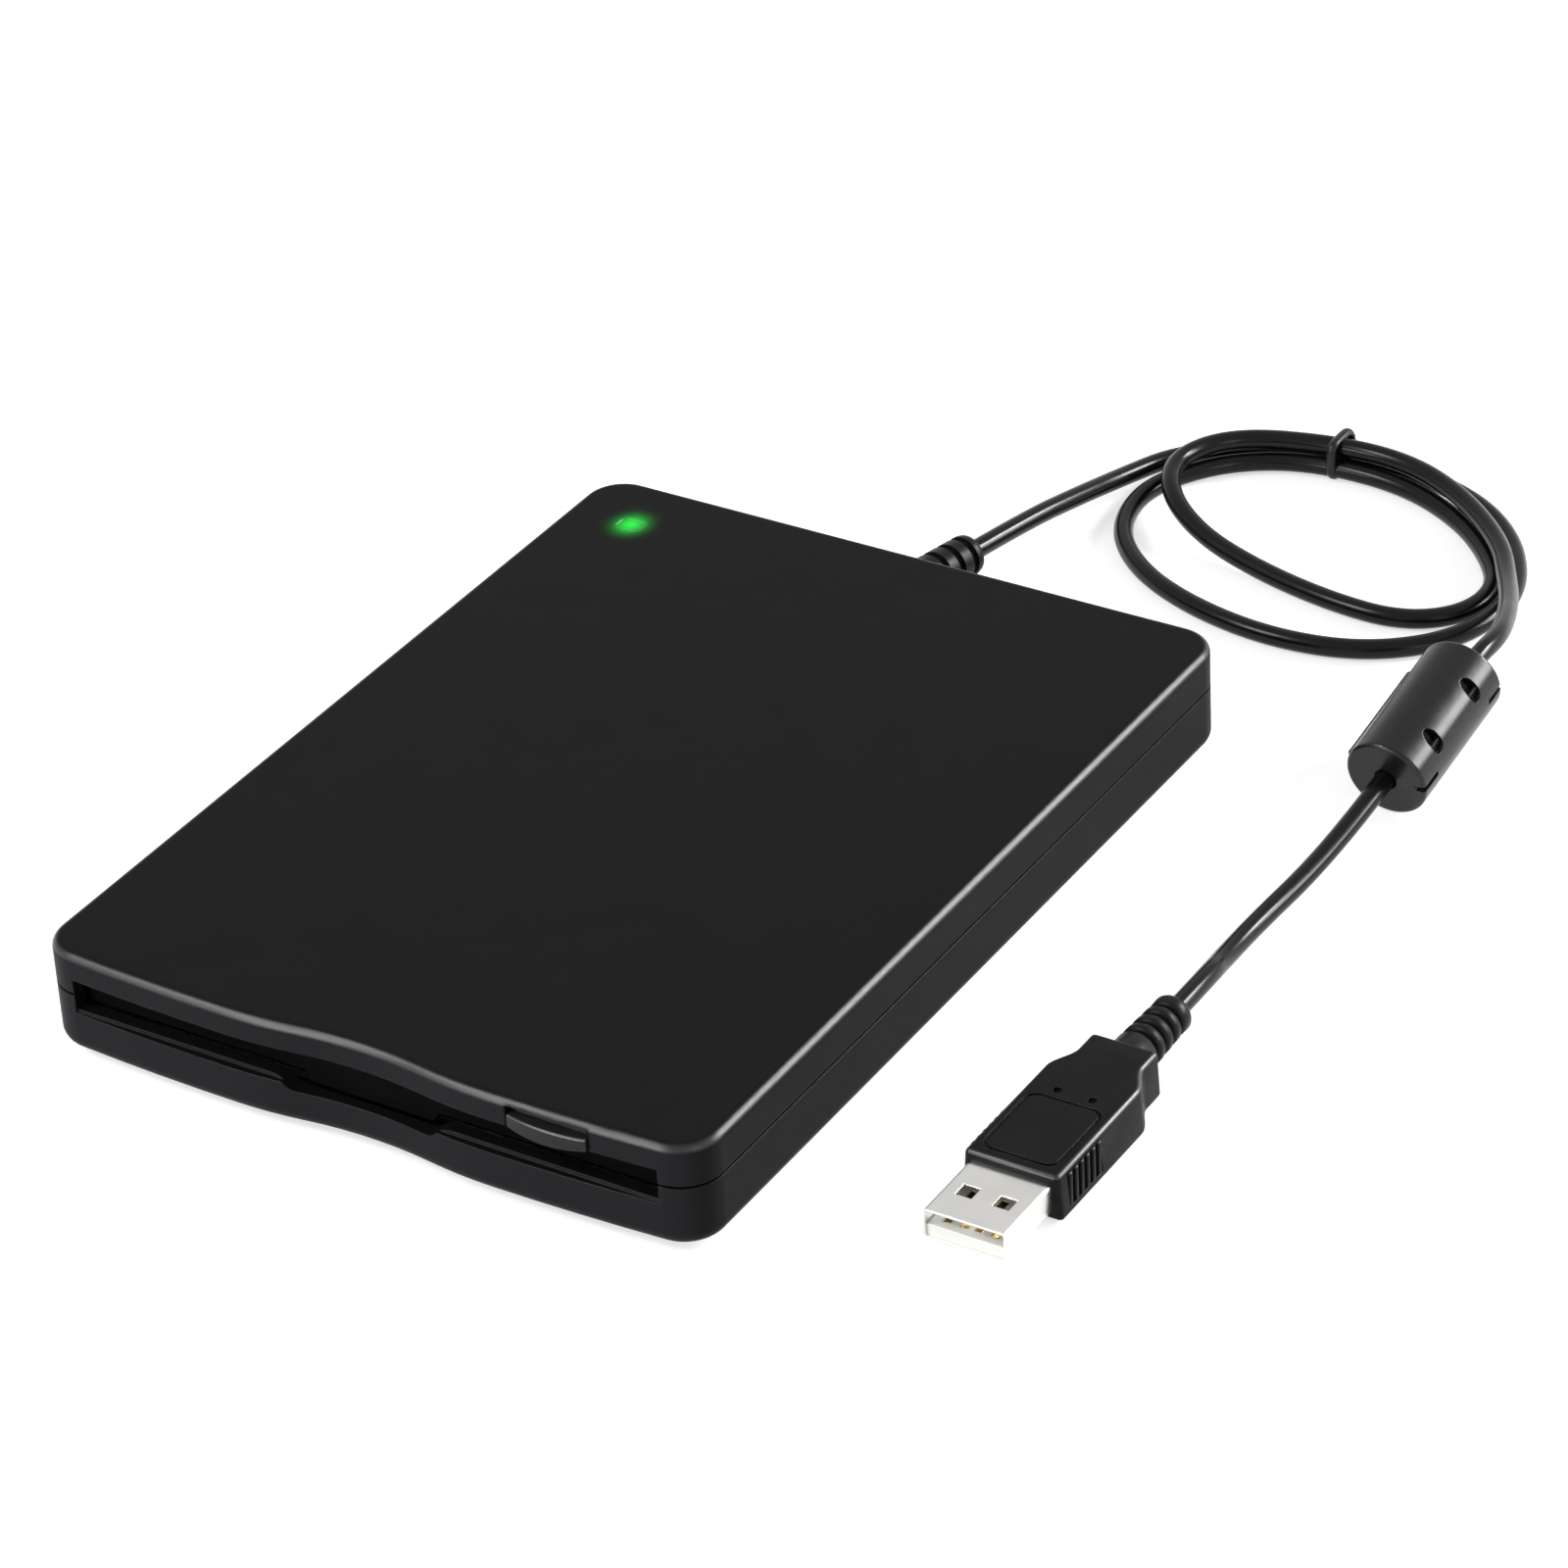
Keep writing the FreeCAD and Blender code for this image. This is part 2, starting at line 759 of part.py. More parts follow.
def make_dust_flap():
    """A plate that hangs behind the slot on two short pins of its own."""
    body = new_body("dust_flap")
    half = slot_half - 0.4
    low = size.slot_bottom + 0.1
    tab_half = size.finger_half - size.finger_bend / 2 - 0.4
    thick = size.flap_thick / 2
    top = flap_pin_height
    pad(body, "XZ", flap_y - thick, flap_y + thick, [
        (-half, low), (-tab_half - 1, low), (-tab_half, low - size.finger_dip),
        (tab_half, low - size.finger_dip), (tab_half + 1, low), (half, low),
        (half, top), (-half, top)])
    pad(body, "YZ", -slot_half - 1.4, slot_half + 1.4, ring(flap_y, top, size.flap_pin_radius))
    return node(body)


make_dust_flap()


# ---------------------------------------------------------------- the chassis

cover_top = chassis_top + size.cover_sheet


def pin_places():
    return (front_pin_y, back_pin_y)


def make_chassis():
    """A pan of bent sheet with upright slots for the holder's pins."""
    body = new_body("chassis_frame")
    inner = chassis_half - size.sheet
    pad(body, "XZ", chassis_front, chassis_back, [
        (-chassis_half, floor_top), (chassis_half, floor_top), (chassis_half, chassis_top),
        (inner, chassis_top), (inner, base_top), (-inner, base_top),
        (-inner, chassis_top), (-chassis_half, chassis_top)])
    slot = size.pin_radius + size.pin_clearance
    for y in pin_places():
        pocket(body, "YZ", -half_wide, half_wide,
               rect(y - slot, y + slot, pin_height - size.holder_drop - slot,
                    chassis_top + 1))
    for x in (-size.rod_x, size.rod_x):
        wide = size.rod_radius + 1.2
        for y in (rod_front, rod_back - 2):
            pad(body, "XZ", y, y + 2,
                rect(x - wide, x + wide, base_top - bite, size.rod_height + size.rod_radius + 0.3))
            pocket(body, "XZ", y - 0.5, y + 2.5,
                   ring(x, size.rod_height, size.rod_radius + size.running_clearance))
    for x in (-spring_x, spring_x):
        pad(body, "XY", base_top - bite, spring_height + 1,
            ring(x, spring_post_y, size.spring_post_radius))
    post_in = size.board_post_in
    for x in (board_left + post_in, board_right - post_in):
        for y in (board_front + post_in, board_back - post_in):
            pad(body, "XY", base_top - bite, board_low, ring(x, y, size.board_post_radius))
    for side in (-1, 1):
        inside = side * (size.rotor_radius + size.motor_window_in)
        outside = side * (size.rotor_radius + size.motor_window_out)
        pocket(body, "XY", floor_top - 1, base_top + 1,
               round_rect(min(inside, outside), max(inside, outside),
                          spindle_y - size.motor_window_out, spindle_y + size.motor_window_out,
                          size.sheet_corner))
    return node(body)


def make_cover():
    """The lid of the mechanism, open over the heads so that their arm can lift."""
    body = new_body("cover_plate")
    window = size.arm_half + 3
    pad(body, "XY", chassis_top, cover_top,
        round_rect(-chassis_half, chassis_half, holder_front, chassis_back,
                   size.sheet_corner),
        round_rect(-window, window, head_y - size.head_travel - 8, arm_pivot_y + 4,
                   size.sheet_corner * 1.5))
    return node(body)


spring_post_y = spring_front - size.spring_post_gap
board_left = -chassis_half + size.board_side_gap
board_right = -carriage_half - size.board_gap
board_front = holder_back + size.board_behind
board_back = chassis_back - size.board_back_gap
board_low = base_top + size.board_lift
make_chassis()
make_cover()


# ---------------------------------------------------------------- slider, button, holder

button_left = button_x - size.button_wide / 2
button_right = button_x + size.button_wide / 2


def cam_slot(y):
    """A slanted slot that lowers a pin as the slider moves to the front."""
    travel = size.eject_travel
    drop = size.holder_drop
    length = root(travel * travel + drop * drop)
    radius = size.pin_radius + size.pin_clearance
    along_y = travel / length * radius
    along_z = -drop / length * radius
    high = (y, pin_height)
    low = (y + travel, pin_height - drop)
    return [
        (high[0] + along_z, high[1] - along_y),
        (low[0] + along_z, low[1] - along_y, radius, 1),
        (low[0] + along_y, low[1] + along_z, radius, 1),
        (low[0] - along_z, low[1] + along_y),
        (high[0] - along_z, high[1] + along_y, radius, 1),
        (high[0] - along_y, high[1] - along_z, radius, 1),
    ]


def make_slider():
    """A plate over the holder whose two flanges carry slanted slots."""
    body = new_body("eject_slider")
    window = size.arm_half + 7
    window_front = head_y - size.head_travel - 10
    tab_half = size.button_wide / 4
    slider_front = holder_front + 2
    slider_back = chassis_back - 6
    pad(body, "XY", slider_low, slider_top, [
        (-slider_half, slider_front), (button_x - tab_half, slider_front),
        (button_x - tab_half, button_back + 1), (button_x + tab_half, button_back + 1),
        (button_x + tab_half, slider_front), (slider_half, slider_front),
        (slider_half, slider_back), (window, slider_back), (window, window_front),
        (-window, window_front), (-window, slider_back), (-slider_half, slider_back)])
    bottom = pin_height - size.holder_drop - size.pin_radius - size.pin_clearance - 0.8
    for side in (-1, 1):
        low_x, high_x = sorted((side * (slider_half - size.slider_flange), side * slider_half))
        for y in pin_places():
            pad(body, "YZ", low_x, high_x,
                rect(y - 3, y + size.eject_travel + 3, bottom, slider_low + bite))
            pocket(body, "YZ", low_x, high_x, cam_slot(y))
        x = spring_x * side
        pad(body, "XZ", spring_back + 0.1, spring_back + 0.7,
            rect(x - 1.2, x + 1.2, spring_height - size.spring_radius, slider_low + bite))
    return node(body)


def make_button():
    """A curved cap in a notch of the slot's upper lip, on a tongue over the slider."""
    body = new_body("eject_button")
    nose = -size.case_deep / 2
    end_y = nose + size.button_bulge * 1.4
    half = size.button_wide / 2
    rise = end_y - nose
    bow = (half * half + rise * rise) / (2 * rise)
    middle = button_x
    pad(body, "XY", button_bottom, button_top, [
        (button_left, end_y, bow, 1), (middle, nose, bow, 1), (button_right, end_y),
        (button_right, button_back), (button_left, button_back)])
    round_edges(body, size.button_edge_radius,
                lambda edge: near(edge.BoundBox.ZMin, button_top)
                and edge.BoundBox.YMax < end_y + 0.01)
    belly = size.button_bulge
    sag = (half * half + belly * belly) / (2 * belly)
    pocket(body, "XZ", nose - past, button_back + 1, [
        (button_left - 1, button_bottom - 1), (button_right + 1, button_bottom - 1),
        (button_right + 1, button_bottom + belly),
        (button_right, button_bottom + belly, sag, -1),
        (middle, button_bottom, sag, -1), (button_left, button_bottom + belly),
        (button_left - 1, button_bottom + belly)])
    pad(body, "XY", slider_top, slider_top + 0.6,
        rect(button_left + 0.6, button_right - 0.6, button_back - 0.8, holder_front - 1))
    return node(body)


def make_holder():
    """The channel that takes the disk and sinks with it onto the spindle."""
    body = new_body("disk_holder")
    ledge = holder_inner - size.ledge_wide
    low = size.disk_bottom - size.holder_sheet
    pad(body, "XZ", holder_front, holder_back, [
        (-holder_outer, low), (-ledge, low), (-ledge, size.disk_bottom),
        (-holder_inner, size.disk_bottom), (-holder_inner, holder_ceiling),
        (holder_inner, holder_ceiling), (holder_inner, size.disk_bottom),
        (ledge, size.disk_bottom), (ledge, low), (holder_outer, low),
        (holder_outer, holder_top), (-holder_outer, holder_top)])
    window = size.arm_half + 4
    pad(body, "XY", holder_ceiling, holder_top,
        rect(size.lever_x - 5, size.lever_x + 5, holder_back - 1, lever_y + 4))
    pocket(body, "XY", holder_ceiling - 1, holder_top + 1,
           rect(-window, window, head_y - size.head_travel - 8, holder_back + 1))
    for y in pin_places():
        for side in (-1, 1):
            reach = (side * (holder_outer - 0.1), side * (chassis_half - 0.2))
            pad(body, "YZ", min(reach), max(reach), ring(y, pin_height, size.pin_radius))
    return node(body)


button_back = front + size.front_wall - 1
make_slider()
make_button()
make_holder()


# ---------------------------------------------------------------- the shutter lever

def make_lever():
    """A flat lever whose tip pushes the disk's shutter aside."""
    body = new_body("shutter_lever")
    wide = size.lever_pin_radius + 0.8
    hub = size.lever_pin_radius + 1.4
    top = lever_bottom + size.lever_thick
    tip = size.lever_long
    pad(body, "XY", lever_bottom, top, ring(zero, zero, hub))
    pad(body, "XY", lever_bottom, top, rect(-wide, wide, -tip, zero))
    pad(body, "XY", lever_bottom, top, ring(zero, -tip, wide))
    pad(body, "XY", size.lever_tip_bottom, lever_bottom + bite,
        ring(zero, -tip, wide - 0.6))
    pocket(body, "XY", lever_bottom - 1, top + 1,
           ring(zero, zero, size.lever_pin_radius + size.running_clearance))
    body.Placement = Placement(Vector(), Rotation(Vector(0, 0, 1), -size.lever_turn))
    place(body, size.lever_x, lever_y, zero, body.Placement.Rotation)
    return node(body)


def make_lever_pin():
    stem = rod("lever_stem", "Z", size.lever_pin_radius, lever_bottom - 0.5, size.lever_x,
               lever_y, holder_ceiling)
    head = rod("lever_head", "Z", size.lever_pin_radius + 0.7, lever_bottom - 0.8,
               size.lever_x, lever_y, lever_bottom - 0.2)
    return node(joined("lever_pin", stem, head))


make_lever()
make_lever_pin()


# ---------------------------------------------------------------- the spindle motor

def make_rotor():
    """The shaft, the hub under the disk and the flat cup over the stator, as one turning."""
    body = new_body("spindle_rotor")
    shaft = size.shaft_radius
    under = size.rotor_top - size.rotor_plate
    inner = size.rotor_radius - size.rotor_wall
    spin(body, [
        (zero, base_top + 0.2), (shaft, base_top + 0.2), (shaft, under), (inner, under),
        (inner, size.rotor_bottom), (size.rotor_radius, size.rotor_bottom),
        (size.rotor_radius, size.rotor_top), (size.hub_radius, size.rotor_top),
        (size.hub_radius, size.hub_top), (shaft, size.hub_top),
        (shaft, size.spindle_tip - 0.4), (shaft - 0.4, size.spindle_tip),
        (zero, size.spindle_tip)])
    pad(body, "XY", size.hub_top - bite, size.hub_top + 0.7,
        ring(size.drive_pin_offset, zero, size.drive_pin_radius))
    place(body, zero, spindle_y, zero)
    return node(body)


def make_tube(name, outer, inner, low, high, x, y):
    wall = rod(name + "_outside", "Z", outer, low, x, y, high)
    hole = rod(name + "_bore", "Z", inner, low - 1, x, y, high + 1)
    return node(cut(name, wall, hole))


def make_stator():
    """Radial poles on a ring, then one coil round each pole."""
    core = new_body("stator_core")
    low = base_top + size.board_thick + 0.3
    high = low + 0.6
    reach = size.rotor_radius - size.rotor_wall - 1.4
    inner = size.bearing_radius + 1
    pad(core, "XY", low, high, ring(zero, zero, inner + 2), ring(zero, zero, inner))
    pole = pad(core, "XY", low, high, [
        (inner + 1, -size.pole_wide / 2), (reach - 1, -size.pole_wide / 2),
        (reach - 1, -size.pole_wide * 1.6), (reach, -size.pole_wide * 1.6),
        (reach, size.pole_wide * 1.6), (reach - 1, size.pole_wide * 1.6),
        (reach - 1, size.pole_wide / 2), (inner + 1, size.pole_wide / 2)])
    doc.recompute()
    poles = core.newObject("PartDesign::PolarPattern", "stator_poles")
    poles.Originals = [pole]
    axis = [part for part in core.Origin.OriginFeatures if part.Role == "Z_Axis"][0]
    poles.Axis = (axis, [""])
    poles.Angle = 360
    bind(poles, "Occurrences", size.pole_count)
    core.Tip = poles
    place(core, zero, spindle_y, zero)
    node(core)
    coils = []
    for index in range(int(size.pole_count)):
        coil = box("coil_blank", inner + 3, reach - 1.5, -size.coil_wide / 2,
                   size.coil_wide / 2, low - 0.3, high + 0.25)
        iron = box("coil_core", inner + 2, reach, -size.pole_wide / 2 - 0.02,
                   size.pole_wide / 2 + 0.02, low - 0.02, high + 0.02)
        turned = cut("coil", coil, iron)
        turn = Rotation(Vector(0, 0, 1), index * 360 / size.pole_count)
        coils.append(place(turned, zero, spindle_y, zero, turn))
    node(group("stator_coils", *coils))


def make_motor_board():
    """The spindle motor's round-ended circuit board."""
    body = new_body("motor_board")
    past_rotor = size.motor_board_past
    reach = size.rotor_radius + past_rotor
    pad(body, "XY", base_top, base_top + size.board_thick,
        round_rect(-reach, reach, spindle_y - reach, spindle_y + reach - past_rotor,
                   size.motor_board_corner),
        ring(zero, spindle_y, size.bearing_radius + 0.1))
    return node(body)


make_rotor()
make_stator()
make_motor_board()
make_tube("rotor_magnet", size.rotor_radius - size.rotor_wall - 0.02,
          size.rotor_radius - size.rotor_wall - 0.8, size.rotor_bottom,
          size.rotor_top - size.rotor_plate, zero, spindle_y)
make_tube("spindle_bearing", size.bearing_radius, size.shaft_radius + size.running_clearance,
          base_top, size.rotor_top - size.rotor_plate - 0.2, zero, spindle_y)


# ---------------------------------------------------------------- heads and their drive

head_front = head_y - size.head_long / 2
head_end = head_y + size.head_long / 2
tower_front = arm_pivot_y - 2
tower_half = size.arm_half + 2
lower_arm_top = size.lower_head_top - 0.95
follower_tip = size.screw_x - size.screw_radius - 0.3


def make_rods():
    rods = [rod("guide_rod", "Y", size.rod_radius, rod_front, x, rod_back,
                size.rod_height) for x in (-size.rod_x, size.rod_x)]
    return node(group("guide_rods", *rods))


def make_carriage():
    """A slab on two rods with a low arm, a tower for the upper arm and a screw finger."""
    body = new_body("head_carriage")
    pad(body, "XY", size.carriage_bottom, size.carriage_top,
        rect(-carriage_half, carriage_half, carriage_front, carriage_back))
    pad(body, "XY", size.carriage_top - bite, lower_arm_top,
        rect(-size.arm_half + 1, size.arm_half - 1, head_front - 2, carriage_front + 6))
    pad(body, "XY", size.carriage_top - bite, arm_pivot_height - 1.6,
        rect(-tower_half, tower_half, tower_front, carriage_back))
    for side in (-1, 1):
        edge = (side * (tower_half - 0.7), side * tower_half)
        pad(body, "YZ", min(edge), max(edge),
            rect(tower_front, carriage_back, arm_pivot_height - 1.7,
                 arm_pivot_height + 1))
        pocket(body, "YZ", min(edge), max(edge),
               ring(arm_pivot_y, arm_pivot_height, size.arm_pin_radius + 0.02))
        pocket(body, "XZ", carriage_front - 1, carriage_back + 1,
               ring(side * size.rod_x, size.rod_height, size.rod_radius + size.bore_clearance))
    pad(body, "XY", size.screw_height - 0.8, size.screw_height + 0.8,
        rect(tower_half - 0.5, follower_tip, arm_pivot_y - 1.5, arm_pivot_y + 0.5))
    return node(body)


def make_upper_arm():
    """The sprung arm that holds the upper head over the disk."""
    body = new_body("upper_head_arm")
    barrel = size.arm_barrel_radius
    reach = tower_half - 1
    pad(body, "YZ", -reach, reach, ring(arm_pivot_y, arm_pivot_height, barrel))
    half = size.arm_half
    pad(body, "XY", arm_pivot_height, arm_pivot_height + size.arm_sheet, [
        (-half, head_end + 2), (-half * 0.75, head_front - 1), (half * 0.75, head_front - 1),
        (half, head_end + 2), (half, arm_pivot_y), (-half, arm_pivot_y)])
    pocket(body, "YZ", -reach - 1, reach + 1,
           ring(arm_pivot_y, arm_pivot_height, size.arm_pin_radius + size.running_clearance))
    return node(body)


def make_heads():
    half = size.head_wide / 2
    node(box("lower_head", -half, half, head_front, head_end, lower_arm_top,
             size.lower_head_top))
    node(box("upper_head", -half, half, head_front, head_end, upper_head_bottom,
             arm_pivot_height))
    node(rod("arm_pin", "X", size.arm_pin_radius, -tower_half, tower_half, arm_pivot_y,
             arm_pivot_height))


def make_screw_drive():
    """The stepper motor, its bracket and the lead screw between them."""
    front_ear = motor_front - size.bracket_long
    back_ear = motor_front - size.bracket_ear
    plate = size.sheet
    foot_half = size.bracket_foot_half
    half = size.bracket_half
    x = size.screw_x
    z = size.screw_height
    can = rod("motor_can", "Y", size.motor_radius, motor_front, x,
              motor_front + size.motor_long, z)
    bore = rod("motor_bore", "Y", size.screw_radius / 2 + size.running_clearance,
               motor_front - 1, x, motor_front + size.screw_tail + 0.2, z)
    node(cut("stepper_motor", can, bore))
    body = new_body("motor_bracket")
    pad(body, "XZ", back_ear, motor_front,
        rect(x - half, x + half, base_top, z + size.motor_radius + 0.4))
    pad(body, "XY", base_top, base_top + plate,
        rect(x - foot_half, x + foot_half, front_ear, back_ear + bite))
    pad(body, "XZ", front_ear, front_ear + plate,
        rect(x - foot_half, x + foot_half, base_top, z + 1.9))
    pocket(body, "XZ", front_ear - 1, motor_front + 1,
           ring(x, z, size.screw_radius + size.running_clearance))
    node(body)
    thread = rod("screw_thread", "Y", size.screw_radius, front_ear - 0.4, x,
                 motor_front - 0.1, z)
    tail = rod("screw_tail", "Y", size.screw_radius / 2, back_ear, x,
               motor_front + size.screw_tail, z)
    node(joined("lead_screw", thread, tail))


make_rods()
make_carriage()
make_upper_arm()
make_heads()
make_screw_drive()


# ---------------------------------------------------------------- switches and springs

def make_switch(name, x):
    """A small switch whose plunger the sunken disk presses."""
    half = size.switch_size / 2
    low = base_top
    high = base_top + size.switch_tall
    block = box(name + "_block", x - half, x + half, front_pin_y - half,
                front_pin_y + half, low, high)
    hole = rod(name + "_hole", "Z", size.plunger_radius + size.running_clearance, low + 0.1, x,
               front_pin_y, high + 1)
    node(cut(name + "_switch", block, hole))
    node(rod(name + "_plunger", "Z", size.plunger_radius, low + 1.4, x, front_pin_y,
             size.plunger_top))


def make_springs():
    """Two close-wound springs that draw the slider to the front."""
    springs = []
    for side in (-1, 1):
        x = spring_x * side
        coil = rod("spring_coil", "Y", size.spring_radius, spring_front, x,
                   spring_back, spring_height)
        core = rod("spring_core", "Y", size.spring_radius - size.spring_wire,
                   spring_front - 1, x, spring_back + 1, spring_height)
        springs.append(cut("spring", coil, core))
    node(group("slider_springs", *springs))


make_switch("disk_in", -switch_x)
make_switch("write_protect", switch_x)
make_springs()


# ---------------------------------------------------------------- boards and light

def make_boards():
    board_top = board_low + size.board_thick
    node(box("controller_board", board_left, board_right, board_front, board_back, board_low,
             board_top))
    middle_x = (board_left + board_right) / 2
    middle_y = (board_front + board_back) / 2
    chip = box("controller_chip", middle_x - 5, middle_x + 5, middle_y - 5, middle_y + 5,
               board_top, board_top + 1.2)
    driver = box("driver_chip", middle_x - 3, middle_x + 3, board_front + 1, board_front + 4.5,
                 board_top, board_top + 1)
    node(group("controller_chips", chip, driver))
    bridge_top = size.bridge_low + 1
    half = bridge_half
    node(box("bridge_board", -half, half, bridge_front, bridge_back, size.bridge_low,
             bridge_top))
    bridge_y = (bridge_front + bridge_back) / 2
    bridge = box("bridge_chip", 10 + size.boot_x, 17 + size.boot_x, bridge_y - 3.5,
                 bridge_y + 3.5, bridge_top, bridge_top + 1.4)
    crystal = rod("crystal", "Z", size.boot_neck_wide / 4, bridge_top, 24 + size.boot_x,
                  bridge_y, bridge_top + 2.5)
    node(group("bridge_parts", bridge, crystal))
    node(box("cable_connector", size.boot_x - 5, size.boot_x + 5, bridge_y - 1, bridge_y + 4,
             bridge_top, bridge_top + 2.8))
    ribbon = new_body("ribbon_cable")
    thin = 0.2
    pad(ribbon, "YZ", middle_x - 6, middle_x + 6, [
        (board_back - 2, board_top), (board_back + 1, board_top),
        (bridge_front - 0.5, bridge_top), (bridge_front + 3, bridge_top),
        (bridge_front + 3, bridge_top + thin), (bridge_front - 0.6, bridge_top + thin),
        (board_back + 0.9, board_top + thin), (board_back - 2, board_top + thin)])
    node(ribbon)
    node(box("status_led", light_x - 1.5, light_x + 1.5, light_y - 0.8,
             light_y + 0.8, bridge_top, bridge_top + 1))
    pipe = new_body("light_pipe")
    pad(pipe, "XY", bridge_top + 1.2, size.case_tall, light_outline(zero))
    pad(pipe, "XY", roof_bottom - 0.7, roof_bottom, light_outline(size.light_collar))
    node(pipe)


make_boards()


# ---------------------------------------------------------------- the cable

# The middle of the cable, from the boot to the clamp and on to the plug. It makes two loose
# turns behind the drive and crosses over them on its way to the clamp.
ROUTE_OUT = [
    (1.9, 103.0, 6.8), (3.6, 114.5, 5.2), (5.0, 126.0, 3.1), (8.2, 137.5, 2.0),
    (17.5, 145.3, 1.8),
]
ROUTE_TURN_ONE = [
    (31.0, 148.9, 2.0), (44.5, 149.6, 1.6), (57.5, 144.5, 1.6), (67.0, 134.5, 1.6),
    (72.3, 121.5, 1.6), (69.5, 108.0, 1.6), (59.5, 99.0, 1.6), (46.0, 96.6, 1.6),
    (32.0, 99.0, 1.6), (19.5, 105.0, 1.6), (10.8, 114.5, 1.6), (8.6, 127.0, 1.6),
    (14.0, 137.5, 1.6),
]
ROUTE_TURN_TWO = [
    (22.0, 143.2, 1.8), (31.5, 145.6, 2.0), (44.0, 145.2, 1.9), (55.0, 139.8, 1.6),
    (63.5, 131.8, 1.6), (68.4, 123.5, 1.6), (67.0, 115.0, 1.6), (60.0, 110.0, 1.6),
    (49.5, 110.8, 1.6), (36.5, 114.2, 1.6), (24.5, 118.0, 2.6), (15.5, 123.5, 4.6),
    (11.2, 132.5, 5.0), (16.3, 142.3, 5.0),
]
ROUTE_OVER = [
    (31.0, 147.0, 4.9), (43.5, 147.0, 4.8), (55.0, 141.0, 4.8), (65.7, 131.0, 4.9),
    (71.0, 121.5, 5.4), (75.6, 112.5, 7.4), (79.4, 103.7, 9.7), (82.0, 96.5, 11.3),
]
CLAMP_ENTRY = (82.1, 86.1, 10.9)
CLAMP_EXIT = (81.5, 63.0, 6.15)
ROUTE_TO_PLUG = [(80.3, 43.5, 2.4), (79.0, 29.5, 1.55), (79.3, 18.5, 2.0), (80.8, 11.5, 4.0)]


def clamp_point(share):
    start = Vector(*CLAMP_ENTRY)
    return start + (Vector(*CLAMP_EXIT) - start) * share


def corner_arc(before, corner, after):
    """The tangent arc at a corner of the route: its two ends, its middle and its radius."""
    first = before - corner
    second = after - corner
    turn = math.pi - first.getAngle(second)
    reach = 0.45 * min(first.Length, second.Length)
    radius = reach / math.tan(turn / 2)
    start = corner + first.normalize() * reach
    end = corner + second.normalize() * reach
    inward = ((start + end) / 2 - corner).normalize()
    middle = corner + inward * (radius / math.cos(turn / 2) - radius)
    return start, middle, end, radius


def route_edges(points):
    """Straight runs joined by tangent arcs, the arcs' radii, and the whole length."""
    edges = []
    radii = []
    at = points[0]
    for before, corner, after in zip(points, points[1:], points[2:]):
        start, middle, end, radius = corner_arc(before, corner, after)
        edges.append(Part.LineSegment(at, start).toShape())
        edges.append(Part.Arc(start, middle, end).toShape())
        radii.append(radius)
        at = end
    edges.append(Part.LineSegment(at, points[-1]).toShape())
    return edges, radii


def cord_tube(name, edges):
    """A round tube along part of the cable."""
    path = Part.Wire(edges)
    start = edges[0].Vertexes[0].Point
    direction = edges[0].tangentAt(edges[0].FirstParameter)
    circle = Part.Circle(start, direction, float(size.cord_radius))
    section = Part.Wire([circle.toShape()])
    made = doc.addObject("Part::Feature", name)
    made.Shape = path.makePipeShell([section], True, False)
    wanted = math.pi * size.cord_radius ** 2 * path.Length
    print(f"{name}: {path.Length:.1f} mm long, volume {made.Shape.Volume / wanted:.4f} of exact")
    return node(made)


def make_cord():
    """One line from the boot to the plug, cut into nodes at the middles of straight runs."""
    loose = ROUTE_OUT + ROUTE_TURN_ONE + ROUTE_TURN_TWO + ROUTE_OVER
    points = [boot_tip] + [Vector(*point) for point in loose]
    points += [clamp_point(-0.15), clamp_point(1.15)]
    points += [Vector(*point) for point in ROUTE_TO_PLUG]
    points.append(Vector(size.plug_x, size.plug_boot_end, size.plug_height))
    edges, radii = route_edges(points)
    print("cable radii:", ", ".join(f"{radius:.0f}" for radius in radii))
    print(f"cable length {sum(edge.Length for edge in edges):.0f} mm")
    cuts = [1 + len(ROUTE_OUT)]
    cuts.append(cuts[-1] + len(ROUTE_TURN_ONE))
    cuts.append(cuts[-1] + len(ROUTE_TURN_TWO))
    cuts.append(cuts[-1] + len(ROUTE_OVER))
    names = ("cord_to_turns", "cord_turn_one", "cord_turn_two", "cord_over_turns",
             "cord_to_plug")
    first = 0
    for name, corner in zip(names, cuts + [len(points)]):
        last = min(2 * corner - 1, len(edges))
        cord_tube(name, edges[first:last])
        first = last


boot_gap = size.boot_root_radius * 0.17
boot_root = Vector(size.boot_x, back + boot_gap, size.boot_height)
boot_run = (Vector(*ROUTE_OUT[0]) - boot_root).normalize()
boot_tip = boot_root + boot_run * size.boot_long
make_cord()


